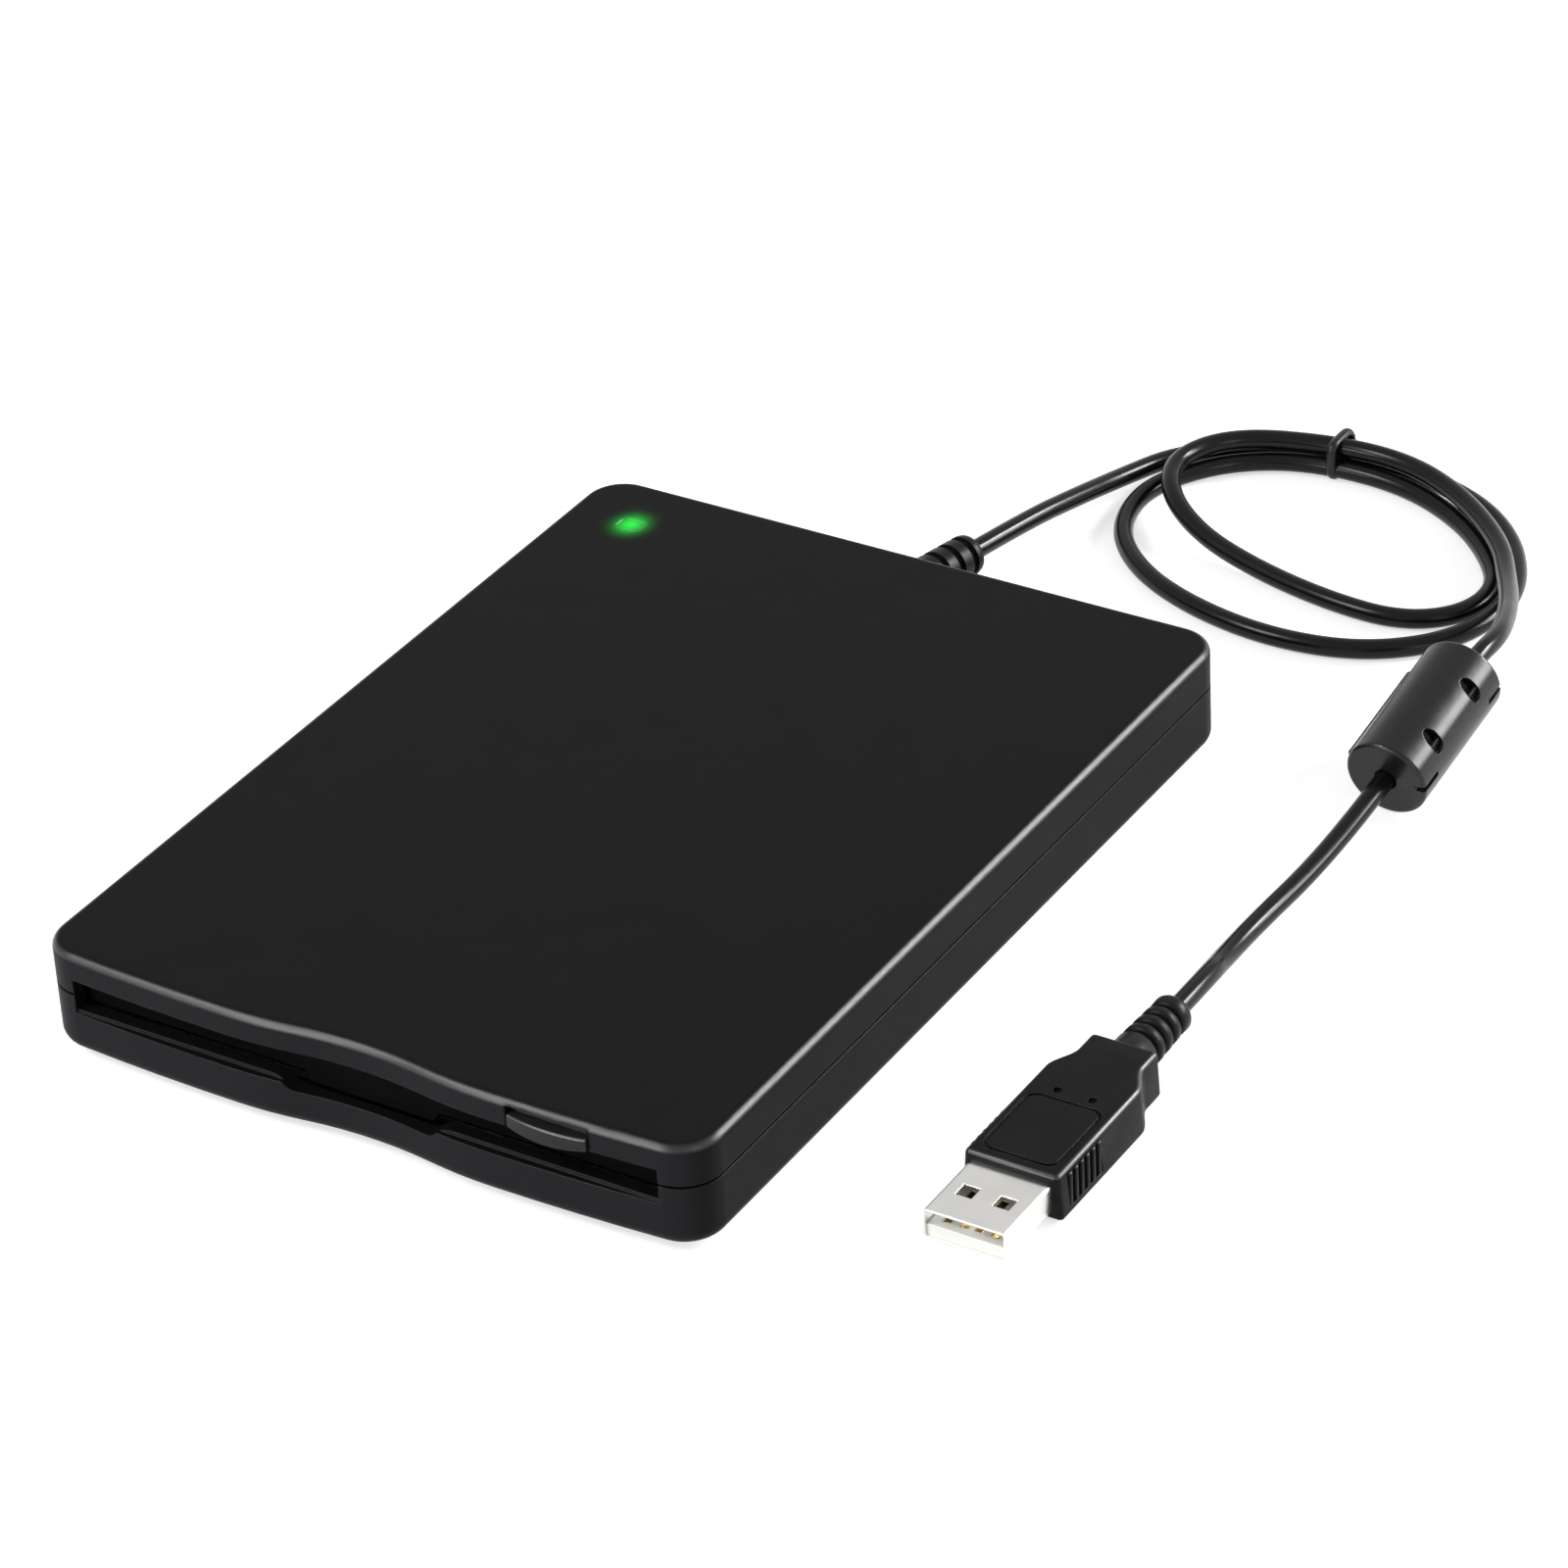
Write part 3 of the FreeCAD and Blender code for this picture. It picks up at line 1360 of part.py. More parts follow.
def make_boot():
    """The ribbed strain relief, moulded on the cable, and the neck that the back wall grips."""
    body = new_body("cable_boot")
    root_long = size.boot_long / 8
    outline = [(zero, zero), (size.boot_root_radius, zero)]
    pitch = (size.boot_long - root_long) / size.boot_ring_count
    shrink = (size.boot_root_radius - size.boot_tip_radius) / size.boot_ring_count
    groove = size.boot_groove
    for index in range(int(size.boot_ring_count)):
        outer = size.boot_root_radius - shrink * index
        low = root_long + pitch * index
        outline += [(outer, low), (outer - groove, low), (outer - groove, low + pitch * 0.4),
                    (outer - shrink, low + pitch * 0.4)]
    tip = size.boot_tip_radius
    bend = size.boot_tip_round
    outline += [(tip, size.boot_long - bend), (tip - bend * 0.13, size.boot_long - bend * 0.5),
                (tip - bend * 0.5, size.boot_long - bend * 0.13), (tip - bend, size.boot_long),
                (zero, size.boot_long)]
    spin(body, outline)
    place(body, size.boot_x, back + boot_gap, size.boot_height,
          Rotation(Vector(0, 0, 1), boot_run))
    node(body)
    half = size.boot_neck_wide / 2
    block = box("boot_neck_block", size.boot_x - half, size.boot_x + half, inner_back - 1,
                back + 0.1, boot_low, seam_low)
    bead = box("boot_bead", size.boot_x - half - 1, size.boot_x + half + 1, inner_back - 1,
               inner_back - 0.1, boot_low - 0.5, seam_low)
    node(joined("boot_neck", block, bead))


make_boot()


def make_tie():
    """A wire tie round the three strands, with its ends twisted together on top."""
    body = new_body("cable_tie")
    wire = size.tie_wire
    low = wire / 10
    high = size.tie_tall
    middle = size.tie_y
    half = size.tie_wide / 2
    left = size.tie_x - size.tie_band / 2
    pad(body, "YZ", left, left + size.tie_band,
        round_rect(middle - half, middle + half, low, high, size.tie_corner),
        round_rect(middle - half + wire, middle + half - wire, low + wire, high - wire,
                   size.tie_corner - wire))
    pad(body, "XY", high - 0.2, high + 1.6, ring(size.tie_x, middle, size.tie_wire * 1.7))
    return node(body)


make_tie()


# ---------------------------------------------------------------- the ferrite clamp

clamp_run = Vector(*CLAMP_EXIT) - Vector(*CLAMP_ENTRY)
clamp_turn = Rotation(clamp_run.cross(Vector(0, 0, 1)), clamp_run, Vector(0, 0, 1), "YXZ")


def half_disc(radius, side, lift):
    """Half of a round section, on one side of the parting plane."""
    reach = root(radius * radius - lift * lift)
    if side > 0:
        return [(reach, lift, radius, 1), (zero, radius, radius, 1), (-reach, lift)]
    return [(-reach, -lift, radius, 1), (zero, -radius, radius, 1), (reach, -lift)]


def latch_starts():
    """Where the two latches begin along the clamp."""
    return [size.clamp_long * share - size.latch_wide / 2 for share in (0.26, 0.74)]


def make_clamp_half(name, side):
    """Half of the clamp's plastic shell, hollow for its half of the core."""
    body = new_body(name)
    gap = size.clamp_gap / 2
    length = size.clamp_long
    reach = size.clamp_radius + 1
    inner = size.clamp_radius - size.clamp_wall
    pad(body, "XZ", zero, length, half_disc(size.clamp_radius, side, gap))
    round_edges(body, size.clamp_end_round,
                lambda edge: edge.BoundBox.YLength < 0.01 and edge.BoundBox.ZLength > 1)
    pocket(body, "XZ", size.clamp_end_wall, length - size.clamp_end_wall,
           half_disc(inner, side, zero))
    pocket(body, "XZ", zero - 1, length + 1, ring(zero, zero, size.clamp_bore))
    notch = size.clamp_notch_long
    tall = size.clamp_notch_tall / 2
    for start in (zero - 1, length - notch):
        pocket(body, "XY", -tall, tall, rect(-reach, -inner, start, start + notch + 1))
    if side > 0:
        make_latch_windows(body, reach, inner)
    else:
        for start in latch_starts():
            pad(body, "XY", zero - 2, size.latch_tip,
                rect(-inner - size.latch_thick, -inner, start + 0.3,
                     start + size.latch_wide - 0.3))
    make_knuckles(body, side)
    return place_clamp(body)


def make_latch_windows(body, reach, inner):
    """An oblong window over each latch, and the groove that lets the latch into it."""
    for start in latch_starts():
        end = start + size.latch_wide
        pocket(body, "YZ", -reach, -inner * 0.35,
               round_rect(start, end, size.latch_low, size.latch_high, size.latch_wide * 0.45))
        pocket(body, "XY", -size.clamp_gap, size.latch_low + size.latch_wide / 2,
               rect(-inner - size.latch_thick - 0.1, -inner + 1, start + 0.15, end - 0.15))


def make_knuckles(body, side):
    """Two hinge knuckles with a pin on the lower half, one on the upper half between them."""
    x = size.clamp_radius + size.knuckle_radius / 2
    middle = size.clamp_long / 2
    inside = size.knuckle_long / 2
    outside = inside + size.knuckle_long * 0.6
    clear = size.knuckle_radius + 0.15
    outer_spans = [(middle - outside, middle - inside), (middle + inside, middle + outside)]
    middle_span = [(middle - inside + 0.1, middle + inside - 0.1)]
    own, others = (middle_span, outer_spans) if side > 0 else (outer_spans, middle_span)
    for start, end in others:
        pocket(body, "XZ", start - 0.1, end + 0.1, ring(x, zero, clear))
    for start, end in own:
        pad(body, "XZ", start, end, ring(x, zero, size.knuckle_radius))
    if side > 0:
        pocket(body, "XZ", zero, size.clamp_long,
               ring(x, zero, size.knuckle_pin_radius + size.running_clearance))
    else:
        pad(body, "XZ", middle - outside, middle + outside, ring(x, zero, size.knuckle_pin_radius))


def place_clamp(thing):
    start = Vector(*CLAMP_ENTRY)
    number = [Size(value, repr(float(value))) for value in start]
    return node(place(thing, number[0], number[1], number[2], clamp_turn))


def make_core_half(name, side):
    body = new_body(name)
    clear = size.core_clearance
    low = size.clamp_end_wall + clear
    high = size.clamp_long - size.clamp_end_wall - clear
    pad(body, "XZ", low, high,
        half_disc(size.clamp_radius - size.clamp_wall - clear, side, size.core_lift))
    pocket(body, "XZ", low - 1, high + 1, ring(zero, zero, size.clamp_bore))
    return place_clamp(body)


make_clamp_half("clamp_lower_shell", -1)
make_clamp_half("clamp_upper_shell", 1)
make_core_half("clamp_lower_core", -1)
make_core_half("clamp_upper_core", 1)


# ---------------------------------------------------------------- the plug

def make_plug_body():
    """The moulded grip: a narrow neck, curved shoulders, a wide front and side ribs."""
    body = new_body("plug_grip")
    x = size.plug_x
    low = size.plug_height - size.plug_tall / 2
    high = size.plug_height + size.plug_tall / 2
    wide = size.plug_wide / 2
    neck = size.plug_neck_wide / 2
    step = wide - neck
    run = size.plug_back - size.plug_shoulder
    bend = (run * run + step * step) / (4 * step)
    middle_y = (size.plug_back + size.plug_shoulder) / 2 - 2
    start = size.plug_back - 2
    end = size.plug_shoulder - 2
    pad(body, "XY", low, high, [
        (x - wide, size.plug_front), (x + wide, size.plug_front), (x + wide, end, bend, 1),
        (x + wide - step / 2, middle_y, bend, -1), (x + neck, start),
        (x + neck, size.plug_back), (x - neck, size.plug_back), (x - neck, start, bend, -1),
        (x - wide + step / 2, middle_y, bend, 1), (x - wide, end)])
    round_edges(body, size.plug_edge_radius,
                lambda edge: edge.BoundBox.ZLength < 0.01 and edge.BoundBox.YLength > 1)
    for index in range(int(size.plug_rib_count)):
        y = size.plug_front + 3 + size.plug_rib_pitch * index
        for side in (-1, 1):
            edge = (x + side * (wide - size.plug_rib_deep), x + side * (wide + 1))
            pocket(body, "XY", low + 1.7, high - 1.7,
                   rect(min(edge), max(edge), y, y + size.plug_rib_wide))
    panel = wide * 0.62
    pad(body, "XY", high - bite, high + size.plug_panel_rise,
        round_rect(x - panel, x + panel, size.plug_front + 3, size.plug_shoulder - 3,
                   size.plug_panel_corner))
    for side in (-1, 1):
        pocket(body, "XY", high - 0.4, high + 1,
               ring(x + side * neck * 0.5, size.plug_shoulder + 1.5, size.plug_dimple))
    pocket(body, "XZ", size.plug_back - 3, size.plug_back + 1,
           ring(x, size.plug_height, size.plug_boot_radius - 0.5))
    return node(body)


def make_plug_boot():
    """The ribbed cable relief behind the grip."""
    body = new_body("plug_boot")
    bore = size.cord_radius + 0.02
    outer = size.plug_boot_radius
    long = size.plug_boot_end - size.plug_back
    outline = [(zero, -2.9), (outer - 0.6, -2.9), (outer - 0.6, zero + 0.05), (outer, zero + 0.05)]
    for index in range(4):
        low = 2 + 3.2 * index
        wide = outer - 0.15 * index
        outline += [(wide, low), (wide - 0.6, low), (wide - 0.6, low + 1.2),
                    (wide - 0.15, low + 1.2)]
    outline += [(outer - 0.6, long), (bore, long), (bore, long - 0.02), (zero, long - 0.02)]
    spin(body, outline)
    turn = Rotation(Vector(1, 0, 0), -90)
    place(body, size.plug_x, size.plug_back, size.plug_height, turn)
    return node(body)


def make_plug_metal():
    """The drawn metal shell, its plastic tongue and the four contacts on the tongue."""
    x = size.plug_x
    z = size.plug_height
    wide = size.plug_shell_wide / 2
    tall = size.plug_shell_tall / 2
    wall = size.plug_shell_wall
    tip = size.plug_front - size.plug_shell_long
    shell = new_body("plug_shell")
    pad(shell, "XZ", tip, size.plug_front,
        round_rect(x - wide, x + wide, z - tall, z + tall, size.plug_shell_corner),
        round_rect(x - wide + wall, x + wide - wall, z - tall + wall, z + tall - wall,
                   size.plug_shell_corner / 2))
    for side in (-1, 1):
        hole_x = x + side * 2.7
        pocket(shell, "XY", z - tall - 1, z + tall + 1,
               rect(hole_x - 1.2, hole_x + 1.2, tip + 4.6, tip + 7))
    node(shell)
    tongue = new_body("plug_insulator")
    floor = z - tall + wall
    pad(tongue, "XZ", tip + 0.4, size.plug_front,
        round_rect(x - wide + wall, x + wide - wall, floor, floor + 1.8,
                   size.plug_shell_corner / 2))
    contacts = []
    for offset in (-3.5, -1, 1, 3.5):
        edges = (x + offset - 0.6, x + offset + 0.6)
        pocket(tongue, "XY", floor + 1.5, floor + 2, rect(*edges, tip + 1.6, tip + 9))
        contacts.append(box("contact", x + offset - 0.5, x + offset + 0.5, tip + 1.7, tip + 8.9,
                            floor + 1.5, floor + 1.75))
    node(tongue)
    node(group("plug_contacts", *contacts))


make_plug_body()
make_plug_boot()
make_plug_metal()


# ---------------------------------------------------------------- check and write

doc.recompute()
bad = [thing.Name for thing in doc.Objects
       if "Invalid" in thing.State or "Error" in thing.State]
for thing in nodes:
    if thing.Shape.isNull() or not thing.Shape.isValid() or not thing.Shape.Solids:
        bad.append(thing.Label)
if bad:
    raise SystemExit("these did not build: " + ", ".join(bad))

os.makedirs("parts", exist_ok=True)
for thing in nodes:
    thing.Shape.exportStep(f"parts/{thing.Label}.step")
print(f"{len(nodes)} sub-parts written")
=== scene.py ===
# %% [markdown]
# # A slim external floppy disk drive
#
# The solids of the drive come from CAD: the case, the mechanism inside it, the cable, the
# ferrite clamp and the plug. This lesson gives them their looks. Every step makes one piece or
# one finish, says what it is on the real object, and why it is made the way it is.

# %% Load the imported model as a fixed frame
import json
import math

import bmesh
import bpy
from mathutils import Matrix, Vector


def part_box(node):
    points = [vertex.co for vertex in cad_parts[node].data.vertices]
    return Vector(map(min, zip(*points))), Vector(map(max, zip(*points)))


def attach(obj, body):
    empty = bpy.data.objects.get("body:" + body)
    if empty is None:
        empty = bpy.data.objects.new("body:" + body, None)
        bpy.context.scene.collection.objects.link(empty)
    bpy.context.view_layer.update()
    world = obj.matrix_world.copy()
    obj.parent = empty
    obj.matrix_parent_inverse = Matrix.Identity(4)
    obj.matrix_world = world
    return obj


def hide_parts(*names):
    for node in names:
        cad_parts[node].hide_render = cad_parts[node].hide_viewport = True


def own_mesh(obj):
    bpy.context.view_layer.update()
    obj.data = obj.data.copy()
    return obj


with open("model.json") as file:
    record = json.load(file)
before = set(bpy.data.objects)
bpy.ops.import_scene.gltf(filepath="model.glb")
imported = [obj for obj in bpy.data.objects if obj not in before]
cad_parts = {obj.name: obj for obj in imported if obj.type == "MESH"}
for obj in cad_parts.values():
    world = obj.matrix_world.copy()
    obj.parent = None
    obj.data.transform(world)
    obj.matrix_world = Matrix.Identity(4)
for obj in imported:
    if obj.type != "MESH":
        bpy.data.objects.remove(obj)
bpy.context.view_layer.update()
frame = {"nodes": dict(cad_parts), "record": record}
nodes = frame["nodes"]

MM = 0.001
SIDES = ((-1, "left"), (1, "right"))


def show(name, data):
    """A new object with this data, placed in the scene."""
    thing = bpy.data.objects.new(name, data)
    bpy.context.scene.collection.objects.link(thing)
    return thing


# %% [markdown]
# ## The camera
#
# A long lens from the front right, a little above the table, keeps the case's sides nearly
# parallel. Three turns say where the camera looks: around the object, down, and a small roll.

# %% Place the camera
CAMERA_PLACE = Vector((0.39386, -0.56821, 0.45386))
AROUND = math.radians(33.147)
DOWN = math.radians(32.339)
ROLL = math.radians(-3.295)
LENS, FILM_WIDE = 136.94, 36

camera_data = bpy.data.cameras.new("camera")
camera_data.lens = LENS
camera_data.sensor_width = FILM_WIDE
camera = show("camera", camera_data)
camera_turn = (Matrix.Rotation(AROUND, 4, "Z") @ Matrix.Rotation(math.pi / 2 - DOWN, 4, "X")
               @ Matrix.Rotation(ROLL, 4, "Z"))
camera.matrix_world = Matrix.Translation(CAMERA_PLACE) @ camera_turn
bpy.context.scene.camera = camera
print("camera", [round(value, 3) for value in camera.matrix_world.translation])

# %% [markdown]
# ## The cable's line
#
# The cable is one soft length of round cord, so it is one NURBS curve with a round bevel. Its
# control points are the corners of the CAD tube's route, so it lies where the tube lies, and
# the curve smooths them into one flowing line. It leaves the boot, makes two loose turns that
# a wire tie holds together, goes through the clamp and ends in the plug's own boot.

# %% Write down the route, in mm
BOOT_ROOT = Vector((-3.0, 72.078, 8.4))
BOOT_LONG = 17.7
CLAMP_ENTRY = Vector((82.1, 86.1, 10.9))
CLAMP_EXIT = Vector((81.5, 63.0, 6.15))
PAST_CLAMP = 0.15
PLUG_BOOT_END = Vector((80.8, 1.5, 4.0))
ROUTE_OUT = [
    (1.9, 103.0, 6.8), (3.6, 114.5, 5.2), (5.0, 126.0, 3.1), (8.2, 137.5, 2.0),
    (17.5, 145.3, 1.8),
]
ROUTE_TURN_ONE = [
    (31.2, 148.9, 2.0), (45.0, 149.6, 1.6), (58.4, 144.5, 1.6), (68.1, 134.5, 1.6),
    (73.4, 121.5, 1.6), (70.6, 108.0, 1.6), (60.4, 99.0, 1.6), (46.6, 96.4, 1.6),
    (32.0, 99.0, 1.6), (19.5, 105.0, 1.6), (10.8, 114.5, 1.6), (8.6, 127.0, 1.6),
    (14.0, 137.5, 1.6),
]
ROUTE_TURN_TWO = [
    (22.0, 143.2, 1.8), (31.5, 145.4, 2.0), (44.2, 144.9, 1.9), (55.6, 139.8, 1.6),
    (64.4, 131.8, 1.6), (69.6, 123.5, 1.6), (68.2, 114.6, 1.6), (60.8, 109.2, 1.6),
    (49.5, 109.6, 1.6), (36.0, 112.8, 1.6), (23.8, 116.8, 2.6), (14.9, 123.0, 4.6),
    (11.0, 132.5, 5.0), (16.3, 142.3, 5.0),
]
ROUTE_OVER = [
    (31.2, 147.0, 4.9), (44.0, 147.0, 4.8), (55.9, 141.0, 4.8), (66.7, 131.0, 4.9),
    (72.2, 121.5, 5.4), (76.8, 112.5, 7.4), (80.3, 103.7, 9.7), (82.4, 96.5, 11.3),
]
ROUTE_TO_PLUG = [(80.3, 43.5, 2.4), (79.0, 29.5, 1.55), (79.3, 18.5, 2.0), (80.8, 11.5, 4.0)]


def route_points():
    """The cable's control points in metres, from the boot's tip to the plug's boot."""
    boot_run = (Vector(ROUTE_OUT[0]) - BOOT_ROOT).normalized()
    clamp_run = CLAMP_EXIT - CLAMP_ENTRY
    points = [BOOT_ROOT + boot_run * BOOT_LONG]
    points += ROUTE_OUT + ROUTE_TURN_ONE + ROUTE_TURN_TWO + ROUTE_OVER
    points += [CLAMP_ENTRY - clamp_run * PAST_CLAMP, CLAMP_ENTRY + clamp_run * (1 + PAST_CLAMP)]
    points += ROUTE_TO_PLUG + [PLUG_BOOT_END]
    return [Vector(point) * MM for point in points]


print("route:", len(route_points()), "control points")

# %% Draw the cable
CORD_DIAMETER = 3.0 * MM


def tube_curve(name, points, radius, order, along, around, closed=False):
    """A round tube on a smooth NURBS line. Along and around say how finely it is divided."""
    curve = bpy.data.curves.new(name, "CURVE")
    curve.dimensions = "3D"
    curve.bevel_depth = radius
    curve.bevel_resolution = around
    curve.use_fill_caps = True
    curve.resolution_u = along
    spline = curve.splines.new("NURBS")
    spline.points.add(len(points) - 1)
    for control, point in zip(spline.points, points):
        control.co = (*point, 1)
    spline.order_u = order
    spline.use_endpoint_u = not closed
    spline.use_cyclic_u = closed
    return curve


cord = show("cable_cord", tube_curve("cable_cord", route_points(), CORD_DIAMETER / 2,
                                     order=3, along=12, around=5))
print("cable:", round(CORD_DIAMETER / MM, 1), "mm thick")

# %% [markdown]
# ## A kit for procedural finishes
#
# Every finish here starts from one shader with the same three layers: a base colour that drifts
# a little over the part, a roughness that drifts too, and a fine bump. All of them read Object
# coordinates, in metres, so the grain has its real size on every part and stays where it is.
# A bevel node softens the sharp edges of the solids in the same shader, as a mould does.

# %% Short ways to add shader nodes
def add_node(tree, kind, inputs=None, **settings):
    """A node with its settings. Each input takes a plain value or another node's output."""
    made = tree.nodes.new(kind)
    for key, value in settings.items():
        setattr(made, key, value)
    for key, value in (inputs or {}).items():
        if isinstance(value, bpy.types.NodeSocket):
            tree.links.new(value, made.inputs[key])
        else:
            made.inputs[key].default_value = value
    return made


def maths(tree, operation, *values):
    """A number worked out from plain numbers and other nodes' outputs."""
    made = add_node(tree, "ShaderNodeMath", dict(enumerate(values)), operation=operation)
    return made.outputs["Value"]


def remap(tree, value, from_low, from_high, to_low=0.0, to_high=1.0):
    """A value carried over from one span to another. It stops at both ends."""
    made = add_node(tree, "ShaderNodeMapRange", {
        "Value": value, "From Min": from_low, "From Max": from_high,
        "To Min": to_low, "To Max": to_high})
    return made.outputs["Result"]


def noise(tree, place, scale, detail):
    """Cloudy values between zero and one, over the part's own coordinates."""
    made = add_node(tree, "ShaderNodeTexNoise", {
        "Vector": place.outputs["Object"], "Scale": scale, "Detail": detail})
    return made.outputs["Fac"]


print("node kit ready")

# %% A small helper that builds one finish
def finish_material(name, colour, roughness, metallic=0.0, drift=0.12, patch=9.0,
                    grain=0.35, bump=0.25, relief=0.02, specular=0.5, rough_drift=0.12,
                    edge=0.15):
    """A shader whose colour, roughness and surface vary.

    Patch, grain, relief and edge are in mm: the size of a cloud of tone, of a grain and of its
    height, and the radius of a softened edge."""
    material = bpy.data.materials.new(name)
    material.use_nodes = True
    tree = material.node_tree
    shader = tree.nodes["Principled BSDF"]
    shader.inputs["Metallic"].default_value = metallic
    shader.inputs["Specular IOR Level"].default_value = specular
    place = add_node(tree, "ShaderNodeTexCoord")
    cloudy = noise(tree, place, 1 / (patch * MM), 3)
    tone = add_node(tree, "ShaderNodeValToRGB", {"Fac": cloudy})
    for element, position, share in zip(tone.color_ramp.elements, (0.35, 0.65),
                                        (1 - drift, 1 + drift)):
        element.position = position
        element.color = (*[part * share for part in colour], 1)
    tree.links.new(tone.outputs["Color"], shader.inputs["Base Color"])
    uneven = noise(tree, place, 2.7 / (patch * MM), 4)
    tree.links.new(remap(tree, uneven, 0.3, 0.7, roughness * (1 - rough_drift),
                         min(1.0, roughness * (1 + rough_drift))), shader.inputs["Roughness"])
    fine = add_node(tree, "ShaderNodeBump", {
        "Strength": bump, "Distance": relief * MM,
        "Height": noise(tree, place, 1 / (grain * MM), 2)})
    if edge:
        soft_edge = add_node(tree, "ShaderNodeBevel", {"Radius": edge * MM}, samples=4,
                             name="soft_edge")
        tree.links.new(soft_edge.outputs["Normal"], fine.inputs["Normal"])
    tree.links.new(fine.outputs["Normal"], shader.inputs["Normal"])
    return material


print("finish kit ready")

# %% [markdown]
# ## The case's black
#
# The case is moulded black ABS with a fine eroded texture. Along the rounded top edge, where
# hands rub, the texture is worn smooth and catches the light. That could be a strip of its own
# on the case, but a clear coat that follows the way the softened surface faces needs no extra
# shape. The seam and the slot further down stay sharp and dull, so coat and softening both
# change with the height on the part. The faces that look to the front get a lighter, bluer
# black: painted light, for the light that falls on them from the front.

# %% Polish the edges that hands rub
SKIN_WEIGHT, SKIN_ROUGHNESS = 0.95, 0.34
SKIN_FULL = (0.25, 0.8)


def by_height(tree, above, below_value, above_value):
    """A value that changes at a height in mm, measured on the part itself."""
    place = add_node(tree, "ShaderNodeTexCoord")
    height = add_node(tree, "ShaderNodeSeparateXYZ", {"Vector": place.outputs["Object"]})
    return remap(tree, height.outputs["Z"], above * MM, (above + 1) * MM,
                 below_value, above_value)


def polish_edges(material, low=0.2, high=0.97):
    """A clear, smooth skin where a surface turns from upright (low) to level (high)."""
    tree = material.node_tree
    shader = tree.nodes["Principled BSDF"]
    softened = tree.nodes["soft_edge"].outputs["Normal"]
    own = add_node(tree, "ShaderNodeVectorTransform", {"Vector": softened},
                   vector_type="NORMAL", convert_from="WORLD", convert_to="OBJECT")
    facing = add_node(tree, "ShaderNodeSeparateXYZ", {"Vector": own.outputs["Vector"]})
    tree.links.new(softened, shader.inputs["Coat Normal"])
    rub = add_node(tree, "ShaderNodeValToRGB", {"Fac": facing.outputs["Z"]})
    ramp = rub.color_ramp
    ramp.elements[0].position = low
    ramp.elements[1].position = high
    for element in ramp.elements:
        element.color = (0, 0, 0, 1)
    for share in SKIN_FULL:
        middle = ramp.elements.new(low + (high - low) * share)
        middle.color = (SKIN_WEIGHT, SKIN_WEIGHT, SKIN_WEIGHT, 1)
    tree.links.new(rub.outputs["Color"], shader.inputs["Coat Weight"])
    shader.inputs["Coat Roughness"].default_value = SKIN_ROUGHNESS
    return material


print("rubbed edges ready")

# %% Mix the case's black
CASE_BLACK = (0.0047, 0.0047, 0.005)
# Painted light: a lighter, bluer black that the faces looking to the front take, and the span of
# facing over which it comes in.
FRONT_PAINTED_LIGHT = (0.0105, 0.0109, 0.0124)
FRONT_LIGHT_FROM, FRONT_LIGHT_FULL = -0.5, -0.85
SKIN_ABOVE, SKIN_BELOW_SHARE = 13.5, 0.3
SOFT_ABOVE, SHARP, SOFT = 12.0, 0.22 * MM, 0.75 * MM
# A mix node's colour sockets share their names with its number sockets, so they go by index.
MIX_SHARE, MIX_FIRST, MIX_SECOND, MIX_RESULT = 0, 6, 7, 2


def paint_front_light(material, colour):
    """Painted light: a lighter, bluer black on the faces that look to the front."""
    tree = material.node_tree
    base = tree.nodes["Principled BSDF"].inputs["Base Color"]
    place = add_node(tree, "ShaderNodeTexCoord")
    facing = add_node(tree, "ShaderNodeSeparateXYZ", {"Vector": place.outputs["Normal"]})
    tone = add_node(tree, "ShaderNodeMix", {
        MIX_SHARE: remap(tree, facing.outputs["Y"], FRONT_LIGHT_FROM, FRONT_LIGHT_FULL),
        MIX_FIRST: base.links[0].from_socket, MIX_SECOND: (*colour, 1)}, data_type="RGBA")
    tree.links.new(tone.outputs[MIX_RESULT], base)


def case_black(name):
    """Black ABS with a fine eroded texture, polished along its rounded top edge."""
    material = finish_material(name, CASE_BLACK, 0.44, drift=0.05, specular=0.05, grain=0.22,
                               bump=0.2, relief=0.008, rough_drift=0.04, edge=0.2)
    polish_edges(material)
    # Painted light on the faces that look to the front.
    paint_front_light(material, FRONT_PAINTED_LIGHT)
    tree = material.node_tree
    coat = tree.nodes["Principled BSDF"].inputs["Coat Weight"]
    tree.links.new(maths(tree, "MULTIPLY", coat.links[0].from_socket,
                         by_height(tree, SKIN_ABOVE, SKIN_BELOW_SHARE, 1.0)), coat)
    tree.links.new(by_height(tree, SOFT_ABOVE, SHARP, SOFT),
                   tree.nodes["soft_edge"].inputs["Radius"])
    return material


print("case black ready")

# %% [markdown]
# ## The finishes
#
# The case scatters the light and never mirrors it. The cable's jacket is smooth PVC, the boots
# are softer and duller, and the plug's shell is bright nickel. Inside there are plated sheet,
# steel rods, copper, boards and resin. One table holds them all, under the names that the
# record gives its parts.

